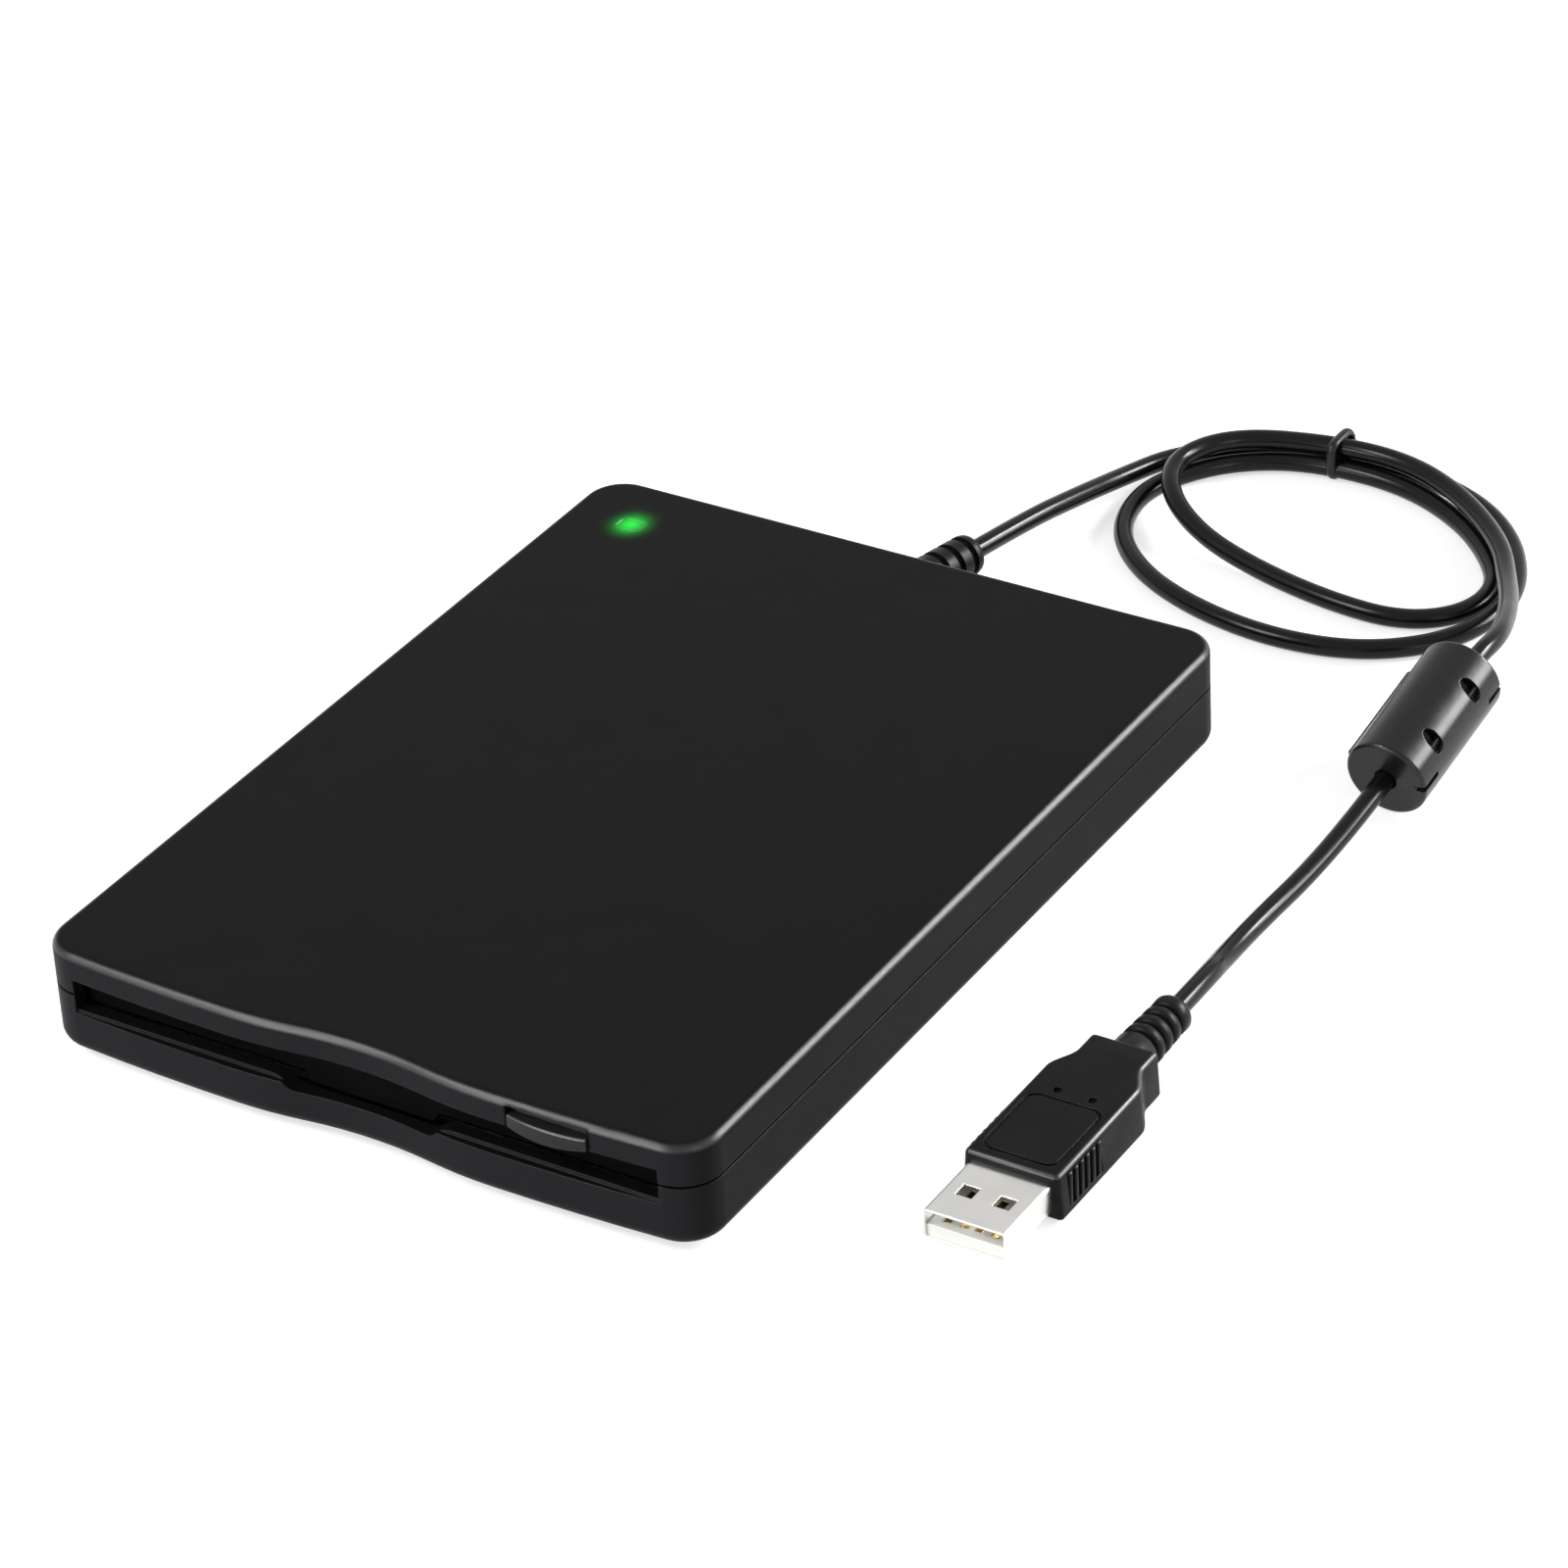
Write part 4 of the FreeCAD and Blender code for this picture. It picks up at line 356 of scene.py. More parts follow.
# %% Mix every finish
FINISHES = {
    "case_plastic": case_black("case_black"),
    "button_plastic": polish_edges(finish_material("button_black", (0.014, 0.0145, 0.0155), 0.36,
                                                   specular=0.15, grain=0.3, bump=0.2,
                                                   relief=0.01)),
    # The dust flap is black plastic. Its black is darker than the case's and is also painted
    # shade for the deep slot it sits in.
    "flap_plastic": finish_material("flap_black_painted_shade", (0.0022, 0.0022, 0.0026), 0.7, specular=0.03,
                                    edge=0),
    "foot_rubber": finish_material("foot_rubber", (0.012, 0.012, 0.012), 0.8, specular=0.25,
                                   grain=0.5, bump=0.5, relief=0.03),
    "screw_steel": finish_material("zinc_steel", (0.55, 0.55, 0.57), 0.32, metallic=1.0,
                                   grain=0.3, patch=2),
    "mechanism_steel": finish_material("plated_sheet", (0.6, 0.61, 0.63), 0.36, metallic=1.0,
                                       drift=0.03, rough_drift=0.05, grain=0.5, patch=14,
                                       relief=0.01),
    "carriage_resin": finish_material("filled_resin", (0.03, 0.03, 0.033), 0.55, grain=0.25),
    "head_ceramic": finish_material("head_ceramic", (0.7, 0.69, 0.65), 0.18, drift=0.04),
    "magnet_ferrite": finish_material("ring_magnet", (0.05, 0.05, 0.055), 0.7, grain=0.2),
    "copper_wire": finish_material("enamelled_copper", (0.6, 0.22, 0.09), 0.3, metallic=0.9,
                                   patch=1.5, grain=0.2, bump=0.6, relief=0.04),
    "board_green": finish_material("solder_mask", (0.012, 0.12, 0.05), 0.3, patch=6),
    "chip_black": finish_material("chip_epoxy", (0.014, 0.014, 0.015), 0.55, grain=0.15),
    "ribbon_film": finish_material("ribbon_film", (0.5, 0.2, 0.04), 0.25, patch=3),
    "cord_jacket": finish_material("cord_jacket", (0.0035, 0.0035, 0.0037), 0.23, specular=0.2,
                                   patch=5, grain=0.8, bump=0.08, relief=0.02, edge=0),
    "boot_rubber": finish_material("boot_rubber", (0.0045, 0.0045, 0.0048), 0.4, specular=0.16,
                                   grain=0.4, bump=0.15),
    "clamp_plastic": finish_material("clamp_plastic", (0.006, 0.006, 0.0062), 0.25,
                                     specular=0.33, grain=0.5, bump=0.12, relief=0.01),
    "core_ferrite": finish_material("core_ferrite", (0.045, 0.044, 0.047), 0.75, grain=0.2),
    "plug_plastic": polish_edges(finish_material("plug_plastic", (0.0055, 0.0055, 0.0058), 0.42,
                                                 specular=0.08, grain=0.25, bump=0.35,
                                                 relief=0.015, edge=0.06), low=0.3, high=0.99),
    "plug_nickel": finish_material("bright_nickel", (0.83, 0.82, 0.79), 0.2, metallic=1.0,
                                   drift=0.03, patch=5, grain=0.15, bump=0.05, relief=0.005),
    "plug_white": finish_material("white_resin", (0.75, 0.75, 0.72), 0.4, drift=0.04),
    "contact_gold": finish_material("gold_contact", (0.95, 0.68, 0.25), 0.22, metallic=1.0,
                                    patch=2),
    "tie_black": finish_material("tie_coating", (0.007, 0.007, 0.0073), 0.35, specular=0.3,
                                 grain=0.5),
}
print(len(FINISHES), "finishes")

# %% [markdown]
# ## The status light
#
# A green light shines up through a small clear window near the back left corner, and some of
# it creeps through the thin black plastic around it. A lamp below clear plastic could do that,
# at the price of a grainy picture. Here the window and the case glow by themselves instead.
# Both read their distance from the middle of the window, so the glow is brightest there and
# fades softly across the edge between them.

# %% Make the glow
LIGHT_LOW, LIGHT_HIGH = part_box("light_pipe")
LIGHT_MIDDLE = (LIGHT_LOW + LIGHT_HIGH) / 2
GLOW_GREEN = (0.02, 0.9, 0.065)
GLOW_STRENGTH = 0.99
GLOW_SPREAD = 1.55 * MM
GLOW_STRETCH = 0.9


def add_glow(material):
    """Green light that fades with the distance from the middle of the window's top."""
    tree = material.node_tree
    shader = tree.nodes["Principled BSDF"]
    place = add_node(tree, "ShaderNodeTexCoord")
    centred = add_node(tree, "ShaderNodeMapping", {
        "Vector": place.outputs["Object"], "Scale": (GLOW_STRETCH, 1, 1),
        "Location": (LIGHT_MIDDLE.x, LIGHT_MIDDLE.y, LIGHT_HIGH.z)}, vector_type="TEXTURE")
    distance = add_node(tree, "ShaderNodeVectorMath", {0: centred.outputs["Vector"]},
                        operation="LENGTH")
    squared = maths(tree, "POWER", distance.outputs["Value"], 2)
    fade = maths(tree, "EXPONENT", maths(tree, "MULTIPLY", squared, -0.5 / GLOW_SPREAD ** 2))
    tree.links.new(maths(tree, "MULTIPLY", fade, GLOW_STRENGTH),
                   shader.inputs["Emission Strength"])
    shader.inputs["Emission Color"].default_value = (*GLOW_GREEN, 1)


lit_case = case_black("case_black_lit")
add_glow(lit_case)
FINISHES["light_green"] = finish_material("green_window", (0.006, 0.02, 0.008), 0.44,
                                          specular=0.05, grain=0.4)
add_glow(FINISHES["light_green"])
print("light at", [round(value / MM, 1) for value in LIGHT_MIDDLE], "mm")

# %% [markdown]
# ## Dress the CAD parts
#
# The CAD parts already have the right shape, so each one only trades its plain colour for its
# finish. The record says which finish each part takes. The top shell takes the case's black
# with the glow in it.

# %% Give every CAD part its finish
SLOT_OF = {row["node"]: row["material_slot"] for row in frame["record"]["subparts"]}


def dress(thing, material):
    """Swap all of an object's material slots for one finish."""
    if not thing.material_slots:
        thing.data.materials.append(material)
    for place in thing.material_slots:
        place.material = material


for name, thing in nodes.items():
    dress(thing, FINISHES[SLOT_OF[name]])
dress(nodes["top_shell"], lit_case)
print(len(nodes), "CAD parts dressed")

# %% [markdown]
# ## Helpers for made pieces
#
# Some pieces repeat one small shape along a line: a thread, a spring, the legs of a chip, the
# ribs of a grip. Geometry Nodes make those, so that a pitch or a count is one number. Others
# are carved like a mould, from a plain block and a few cutters.

# %% Turn a node tree into a plain mesh
def new_tree(name, inputs):
    """An empty tree with one geometry output and named inputs with their defaults."""
    group = bpy.data.node_groups.new(name, "GeometryNodeTree")
    group.interface.new_socket(name="Geometry", in_out="OUTPUT", socket_type="NodeSocketGeometry")
    keys = {}
    for label, kind, value in inputs:
        socket = group.interface.new_socket(name=label, in_out="INPUT", socket_type=kind)
        socket.default_value = value
        keys[label] = socket.identifier
    return group, keys, group.nodes.new("NodeGroupInput"), group.nodes.new("NodeGroupOutput")


def finish_tree(group, source, target, material):
    """End a tree the way every tree here ends: real geometry with one finish."""
    real = add_node(group, "GeometryNodeRealizeInstances", {"Geometry": source})
    paint = add_node(group, "GeometryNodeSetMaterial", {
        "Geometry": real.outputs["Geometry"], "Material": material})
    group.links.new(paint.outputs["Geometry"], target.inputs["Geometry"])


def plain_mesh(thing):
    """What an object's modifiers or bevel make of it, as a mesh of its own."""
    ready = thing.evaluated_get(bpy.context.evaluated_depsgraph_get())
    return bpy.data.meshes.new_from_object(ready)


def grow(name, group, keys, values, place=Matrix.Identity(4)):
    """Run a tree once with these values and keep the plain mesh, moved to its place."""
    holder = show(name + "_holder", bpy.data.meshes.new(name + "_holder"))
    modifier = holder.modifiers.new(name, "NODES")
    modifier.node_group = group
    for label, value in values.items():
        modifier[keys[label]] = value
    mesh = plain_mesh(holder)
    bpy.data.objects.remove(holder)
    mesh.name = name
    mesh.transform(place)
    mesh.set_sharp_from_angle(angle=math.radians(35))
    return show(name, mesh)


print("tree kit ready")

# %% Repeat and join inside a tree
def joined(tree, *parts):
    """Several geometries as one."""
    join = tree.nodes.new("GeometryNodeJoinGeometry")
    for part in parts:
        tree.links.new(part, join.inputs["Geometry"])
    return join.outputs["Geometry"]


def repeated(tree, thing, count, start, step):
    """Copies of one thing along a straight line."""
    row = add_node(tree, "GeometryNodeMeshLine", {
        "Count": count, "Start Location": start, "Offset": step})
    spread = add_node(tree, "GeometryNodeInstanceOnPoints", {
        "Points": row.outputs["Mesh"], "Instance": thing})
    return spread.outputs["Instances"]


def vector_of(tree, **axes):
    """A vector with the given outputs on its axes and zero elsewhere."""
    return add_node(tree, "ShaderNodeCombineXYZ", axes).outputs["Vector"]


print("rows ready")

# %% Carve a block with cutters
def solid(name, shape):
    """A new object from a finished bmesh, with its faces turned outwards."""
    bmesh.ops.recalc_face_normals(shape, faces=shape.faces)
    mesh = bpy.data.meshes.new(name)
    shape.to_mesh(mesh)
    shape.free()
    return show(name, mesh)


def prism(name, outline, low, high):
    """An upright solid over a closed outline in mm."""
    shape = bmesh.new()
    bottom = [shape.verts.new((x * MM, y * MM, low * MM)) for x, y in outline]
    top = [shape.verts.new((x * MM, y * MM, high * MM)) for x, y in outline]
    shape.faces.new(reversed(bottom))
    shape.faces.new(top)
    for index, vertex in enumerate(bottom):
        after = (index + 1) % len(bottom)
        shape.faces.new((vertex, bottom[after], top[after], top[index]))
    return solid(name, shape)


def settle(piece):
    """Bake an object's modifiers into its mesh and take them off."""
    mesh = plain_mesh(piece)
    piece.modifiers.clear()
    piece.data = mesh


def carve(piece, cutters):
    """Take the cutters out of the piece, and delete them."""
    for cutter in cutters:
        cut = piece.modifiers.new("cut", "BOOLEAN")
        cut.operation = "DIFFERENCE"
        cut.solver = "EXACT"
        cut.object = cutter
    settle(piece)
    for cutter in cutters:
        bpy.data.objects.remove(cutter)


def round_outline(left, right, front, back, corner, steps=6):
    """A rectangle with round corners, as points in mm."""
    points = []
    for x, y, start in ((right - corner, back - corner, 0), (left + corner, back - corner, 90),
                        (left + corner, front + corner, 180),
                        (right - corner, front + corner, 270)):
        for step in range(steps + 1):
            angle = math.radians(start + 90 * step / steps)
            points.append((x + corner * math.cos(angle), y + corner * math.sin(angle)))
    return points


print("carving kit ready")

# %% [markdown]
# ## The plug's grip
#
# The grip is moulded over the plug's shell and the end of the cable. It is straight where
# fingers hold it, narrows through two soft shoulders to a neck, and has a fine sunken line round
# its flat panel, two dimples behind that, and a shallow pocket for ribs on each side. It is
# carved from one block because every detail on it is a cut of an even depth.

# %% Draw the grip, in mm
PLUG_X = 80.8
PLUG_MIDDLE = 4.0
GRIP_FRONT, GRIP_BACK = -41.5, -11.0
GRIP_HALF, GRIP_NECK = 7.4, 5.3
GRIP_LOW, GRIP_HIGH = 0.5, 7.5
GRIP_EDGE, GRIP_DRAFT = 0.75, 0.07
SHOULDER_FRONT, SHOULDER_BACK, SHOULDER_STEPS = -20.2, -15.0, 12
PANEL_HALF, PANEL_FRONT, PANEL_BACK, PANEL_CORNER = 5.6, GRIP_FRONT + 1.5, -26.3, 1.9
LINE_WIDE, LINE_DEEP = 0.48, 0.35
DIMPLE_X, DIMPLE_FRONT, DIMPLE_BACK, DIMPLE_HALF = 2.6, -25.3, -24.06, 0.62
DIMPLE_CORNER, DIMPLE_DEEP = 0.6, 0.5
POCKET_LEFT, POCKET_RIGHT, POCKET_RIM = -0.55, 0.6, 1.2
POCKET_FRONT, POCKET_BACK = GRIP_FRONT + 2.2, GRIP_FRONT + 10.9
SOCKET_HALF, SOCKET_DEEP, SOCKET_LOW, SOCKET_HIGH = 2.8, 3, 1.2, 6.8


def grip_outline():
    """The grip from above: straight, then an S-shaped shoulder, then the neck."""
    side = [(GRIP_HALF, GRIP_FRONT)]
    for step in range(SHOULDER_STEPS + 1):
        share = step / SHOULDER_STEPS
        ease = share * share * (3 - 2 * share)
        side.append((GRIP_HALF + (GRIP_NECK - GRIP_HALF) * ease,
                     SHOULDER_FRONT + (SHOULDER_BACK - SHOULDER_FRONT) * share))
    side.append((GRIP_NECK, GRIP_BACK))
    right = [(PLUG_X + x, y) for x, y in side]
    left = [(PLUG_X - x, y) for x, y in reversed(side)]
    return right + left


def panel_line():
    """The cutter for the fine line: a rounded block with a smaller one taken out."""
    ring = prism("line", round_outline(PLUG_X - PANEL_HALF, PLUG_X + PANEL_HALF, PANEL_FRONT,
                                       PANEL_BACK, PANEL_CORNER),
                 GRIP_HIGH - LINE_DEEP, GRIP_HIGH + 1)
    inner = PANEL_HALF - LINE_WIDE
    core = prism("core", round_outline(PLUG_X - inner, PLUG_X + inner, PANEL_FRONT + LINE_WIDE,
                                       PANEL_BACK - LINE_WIDE, PANEL_CORNER - LINE_WIDE),
                 GRIP_HIGH - 1, GRIP_HIGH + 2)
    carve(ring, [core])
    return ring


print("grip:", GRIP_BACK - GRIP_FRONT, "mm long")

# %% Carve the grip
def make_grip():
    """A block with softened edges, a slight draft above its middle, and every cut in it."""
    grip = prism("plug_grip_moulding", grip_outline(), GRIP_LOW, GRIP_HIGH)
    for vertex in grip.data.vertices:
        if vertex.co.z > PLUG_MIDDLE * MM:
            vertex.co.x += (PLUG_X * MM - vertex.co.x) * GRIP_DRAFT
    edge = grip.modifiers.new("edge", "BEVEL")
    edge.width = GRIP_EDGE * MM
    edge.segments = 4
    edge.angle_limit = math.radians(50)
    settle(grip)
    cutters = [panel_line()]
    for side, _ in SIDES:
        x = PLUG_X + side * DIMPLE_X
        cutters.append(prism("dimple", round_outline(x - DIMPLE_HALF, x + DIMPLE_HALF,
                                                     DIMPLE_FRONT, DIMPLE_BACK, DIMPLE_CORNER),
                             GRIP_HIGH - DIMPLE_DEEP, GRIP_HIGH + 1))
        wall = PLUG_X + side * GRIP_HALF
        cutters.append(prism("pocket", [(wall + POCKET_LEFT, POCKET_FRONT),
                                        (wall + POCKET_RIGHT, POCKET_FRONT),
                                        (wall + POCKET_RIGHT, POCKET_BACK),
                                        (wall + POCKET_LEFT, POCKET_BACK)],
                             GRIP_LOW + POCKET_RIM, GRIP_HIGH - POCKET_RIM))
    cutters.append(prism("socket", round_outline(PLUG_X - SOCKET_HALF, PLUG_X + SOCKET_HALF,
                                                 GRIP_BACK - SOCKET_DEEP, GRIP_BACK + 1, 0.1),
                         SOCKET_LOW, SOCKET_HIGH))
    carve(grip, cutters)
    grip.data.set_sharp_from_angle(angle=math.radians(32))
    return grip


grip = make_grip()
dress(grip, FINISHES["plug_plastic"])
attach(grip, "drive")
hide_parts("plug_grip")
print("grip faces:", len(grip.data.polygons))

# %% [markdown]
# ## The ribs on the grip
#
# A row of short ribs stands in the pocket on each side, where two fingers pull the plug out.
# They could be cut into the grip one by one. A tree that repeats one bar is simpler, because
# the count and the pitch are one number each.

# %% Line up the ribs on both sides of the grip
RIB_COUNT, RIB_PITCH, RIB_SIZE = 6, 1.5 * MM, (1.0 * MM, 0.8 * MM, 5.4 * MM)
RIB_INSET, RIB_START, RIB_SOFT = 0.62, 2.8, 0.18

rib_tree, rib_keys, rib_in, rib_out = new_tree("grip_ribs", [
    ("Count", "NodeSocketInt", RIB_COUNT), ("Pitch", "NodeSocketFloat", RIB_PITCH),
    ("Rib size", "NodeSocketVector", RIB_SIZE), ("Start", "NodeSocketVector", (0, 0, 0))])
rib_bar = add_node(rib_tree, "GeometryNodeMeshCube", {"Size": rib_in.outputs["Rib size"]})
rib_row = repeated(rib_tree, rib_bar.outputs["Mesh"], rib_in.outputs["Count"],
                   rib_in.outputs["Start"], vector_of(rib_tree, Y=rib_in.outputs["Pitch"]))
finish_tree(rib_tree, rib_row, rib_out, FINISHES["plug_plastic"])

for side, label in SIDES:
    ribs = grow("plug_ribs_" + label, rib_tree, rib_keys, {
        "Start": ((PLUG_X + side * (GRIP_HALF - RIB_INSET)) * MM,
                  (GRIP_FRONT + RIB_START) * MM, PLUG_MIDDLE * MM)})
    soft = ribs.modifiers.new("soft", "BEVEL")
    soft.width = RIB_SOFT * MM
    soft.segments = 2
    settle(ribs)
    ribs.data.set_sharp_from_angle(angle=math.radians(60))
    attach(ribs, "drive")

# %% [markdown]
# ## The plug's boot
#
# Behind the grip the cable leaves through a soft boot that keeps it from kinking. The boot
# tapers a little, and four grooves cut it into rings that can flex. Its side view is one line,
# turned about the cable, so every groove runs true all the way round.

# %% Turn the boot
BOOT_FRONT, PLUG_BOOT_LONG = -11.4, 13.6
BOOT_RADIUS, BOOT_TAPER, BOOT_BORE = 3.15, 0.09, 1.2
GROOVES, GROOVE_START, GROOVE_WIDE, GROOVE_DEEP = 4, 4.2, 0.75, 0.75


def boot_outline():
    """Pairs of distance along the boot and radius, in mm, with every groove and its lips."""
    pitch = (PLUG_BOOT_LONG - GROOVE_START) / GROOVES
    line = [(0, BOOT_BORE), (0, BOOT_RADIUS)]
    for index in range(GROOVES):
        at = GROOVE_START + pitch * index - GROOVE_WIDE
        radius = BOOT_RADIUS - BOOT_TAPER * index
        line += [(at - 0.25, radius), (at, radius - 0.2), (at + 0.1, radius - GROOVE_DEEP),
                 (at + GROOVE_WIDE, radius - GROOVE_DEEP),
                 (at + GROOVE_WIDE + 0.1, radius - 0.25), (at + GROOVE_WIDE + 0.4, radius - 0.08)]
    return line + [(PLUG_BOOT_LONG - 0.5, 2.85), (PLUG_BOOT_LONG - 0.12, 2.65),
                   (PLUG_BOOT_LONG, 2.3), (PLUG_BOOT_LONG, 1.35)]


def smooth(mesh):
    """Shade every face of a mesh smooth."""
    for face in mesh.polygons:
        face.use_smooth = True


def turned(name, line, centre, sides=40):
    """A closed ring of the outline turned about a line along Y."""
    circle = [(math.cos(math.tau * side / sides), math.sin(math.tau * side / sides))
              for side in range(sides)]
    shape = bmesh.new()
    rings = [[shape.verts.new(((centre[0] + radius * across) * MM, (centre[1] + along) * MM,
                               (centre[2] + radius * up) * MM)) for across, up in circle]
             for along, radius in line]
    for ring, after in zip(rings, rings[1:] + rings[:1]):
        for side in range(sides):
            other = (side + 1) % sides
            shape.faces.new((ring[side], ring[other], after[other], after[side]))
    piece = solid(name, shape)
    smooth(piece.data)
    piece.data.set_sharp_from_angle(angle=math.radians(50))
    return piece


plug_boot = turned("plug_boot_rings", boot_outline(), (PLUG_X, BOOT_FRONT, PLUG_MIDDLE))
dress(plug_boot, FINISHES["boot_rubber"])
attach(plug_boot, "drive")
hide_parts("plug_boot")
print("boot:", PLUG_BOOT_LONG, "mm long")

# %% [markdown]
# ## The wire tie
#
# A short length of thin coated wire holds the strands of the coil. It goes once round them and
# its ends are twisted together. The loop is one closed curve, widened to a flat band round the
# strands, and the twist is two short wires, one turn round each other.

# %% Make a wire from points
def wire_mesh(name, points, radius, closed=False, flat=1.0):
    """A wire along points in mm, as a plain mesh. Flat widens it sideways."""
    line = [[value * MM for value in point] for point in points]
    holder = show(name + "_holder", tube_curve(name, line, radius * MM, order=4, along=8,
                                               around=3, closed=closed))
    mesh = plain_mesh(holder)
    bpy.data.objects.remove(holder)
    middle = sum(point[0] for point in points) / len(points) * MM
    for vertex in mesh.vertices:
        vertex.co.x = middle + (vertex.co.x - middle) * flat
    return mesh


def join_meshes(name, meshes):
    """Several meshes as one object. Their caps are welded on, so each wire is closed."""
    shape = bmesh.new()
    for mesh in meshes:
        shape.from_mesh(mesh)
    bmesh.ops.remove_doubles(shape, verts=shape.verts, dist=0.001 * MM)
    return solid(name, shape)


print("wire kit ready")

# %% Bend the tie
TIE_LOW, TIE_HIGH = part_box("cable_tie")
TIE_X = (TIE_LOW.x + TIE_HIGH.x) / 2 / MM + 1
TIE_Y = (TIE_LOW.y + TIE_HIGH.y) / 2 / MM
TIE_HALF = (TIE_HIGH.y - TIE_LOW.y) / 2 / MM
TIE_TOP = 6.95
TIE_WIRE, TIE_FLAT, TIE_CORNER = 0.55, 1.45, 1.5
TWIST_START = (TIE_X, TIE_Y + TIE_HALF - 0.9, TIE_TOP - 1.4)
TWIST_LEAN = (0.3, 0.5, -0.8)
TWIST_WIRE, TWIST_WIDE, TWIST_TALL, TWIST_STEPS = 0.36, 0.42, 0.3, 8


def tie_loop():
    """The wire's way round the strands, a rounded oblong in the upright plane."""
    reach, low, high = TIE_HALF - TIE_WIRE, TIE_WIRE + 0.05, TIE_TOP - TIE_WIRE
    loop = round_outline(TIE_Y - reach, TIE_Y + reach, low, high, TIE_CORNER, steps=3)
    return [(TIE_X, y, z) for y, z in loop]


def twist_line(phase):
    """One end's way round the other, from a point on the loop outwards."""
    points = []
    for step in range(TWIST_STEPS + 1):
        share = step / TWIST_STEPS
        angle = phase + math.tau * share
        points.append((TWIST_START[0] + TWIST_WIDE * math.cos(angle) + TWIST_LEAN[0] * share,
                       TWIST_START[1] + TWIST_LEAN[1] * share,
                       TWIST_START[2] + TWIST_TALL * math.sin(angle) + TWIST_LEAN[2] * share))
    return points


tie_meshes = [wire_mesh("tie_loop", tie_loop(), TIE_WIRE, closed=True, flat=TIE_FLAT)]
tie_meshes += [wire_mesh("twist", twist_line(phase), TWIST_WIRE) for phase in (0, math.pi)]
tie = join_meshes("cable_tie_wire", tie_meshes)
smooth(tie.data)
dress(tie, FINISHES["tie_black"])
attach(tie, "drive")
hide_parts("cable_tie")
print("tie at", round(TIE_X, 1), round(TIE_Y, 1), "mm")

# %% [markdown]
# ## The cable takes its place
#
# The curve stands for the five CAD tubes, which are hidden, and takes the jacket's finish.

CORD_TUBES = ["cord_to_turns", "cord_turn_one", "cord_turn_two", "cord_over_turns",
              "cord_to_plug"]
dress(cord, FINISHES["cord_jacket"])
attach(cord, "drive")
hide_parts(*CORD_TUBES)
tuple(route_points()[0])
print("one cord in place of", len(CORD_TUBES), "tubes")

# %% [markdown]
# ## Wound wire
#
# A screw's thread and a spring's wire are the same thing: a wire wound round a line. One tree
# makes both. A switch in it adds a core inside the wire and a thin tail behind, for the screw.

# %% Build the tree that winds a wire
coil_tree, coil_keys, coil_in, coil_out = new_tree("wound_wire", [
    ("Turns", "NodeSocketFloat", 10.0), ("Length", "NodeSocketFloat", 0.02),
    ("Radius", "NodeSocketFloat", 0.001), ("Wire", "NodeSocketFloat", 0.0002),
    ("Has core", "NodeSocketBool", False), ("Core", "NodeSocketFloat", 0.0009),
    ("Tail", "NodeSocketFloat", 0.001), ("Tail radius", "NodeSocketFloat", 0.0005)])
coil = coil_in.outputs


def swept(line, radius, sides):
    """A round rod along a line, closed at both ends. Radius is an input of the tree."""
    ring = add_node(coil_tree, "GeometryNodeCurvePrimitiveCircle", {
        "Resolution": sides, "Radius": radius})
    rod = add_node(coil_tree, "GeometryNodeCurveToMesh", {
        "Curve": line, "Profile Curve": ring.outputs["Curve"], "Fill Caps": True})
    return rod.outputs["Mesh"]


def straight(**ends):
    """An upright line between the heights given as Start and End. No height means the ground."""
    line = add_node(coil_tree, "GeometryNodeCurvePrimitiveLine", {
        end: vector_of(coil_tree, Z=height) for end, height in ends.items()})
    return line.outputs["Curve"]


spiral = add_node(coil_tree, "GeometryNodeCurveSpiral", {
    "Resolution": 20, "Rotations": coil["Turns"], "Start Radius": coil["Radius"],
    "End Radius": coil["Radius"], "Height": coil["Length"]})
tail_end = maths(coil_tree, "ADD", coil["Length"], coil["Tail"])
shaft = joined(coil_tree, swept(straight(End=coil["Length"]), coil["Core"], 24),
               swept(straight(Start=coil["Length"], End=tail_end), coil["Tail radius"], 16))
with_core = add_node(coil_tree, "GeometryNodeSwitch", {
    "Switch": coil["Has core"], "True": shaft}, input_type="GEOMETRY")
wound = joined(coil_tree, swept(spiral.outputs["Curve"], coil["Wire"], 6),
               with_core.outputs["Output"])
finish_tree(coil_tree, wound, coil_out, FINISHES["screw_steel"])


def wind(name, box, turns, wire_radius, **core):
    """A wound piece that fills a box lying along Y."""
    low, high = box
    radius = (high.x - low.x) / 2
    middle = ((low.x + high.x) / 2, low.y + wire_radius, (low.z + high.z) / 2)
    place = Matrix.Translation(middle) @ Matrix.Rotation(-math.pi / 2, 4, "X")
    return grow(name, coil_tree, coil_keys, {
        "Turns": float(turns), "Length": high.y - low.y - 2 * wire_radius,
        "Radius": radius - wire_radius, "Wire": wire_radius, **core}, place)


print("wound wire: a tree of", len(coil_tree.nodes), "nodes")

# %% [markdown]
# ## The lead screw
#
# A small motor turns this screw, and its slow thread draws the head carriage along. A thread
# could be cut into the rod. At this size a wire that is half sunk in a thinner rod looks the
# same, with fewer faces. The bare tail goes into the motor.

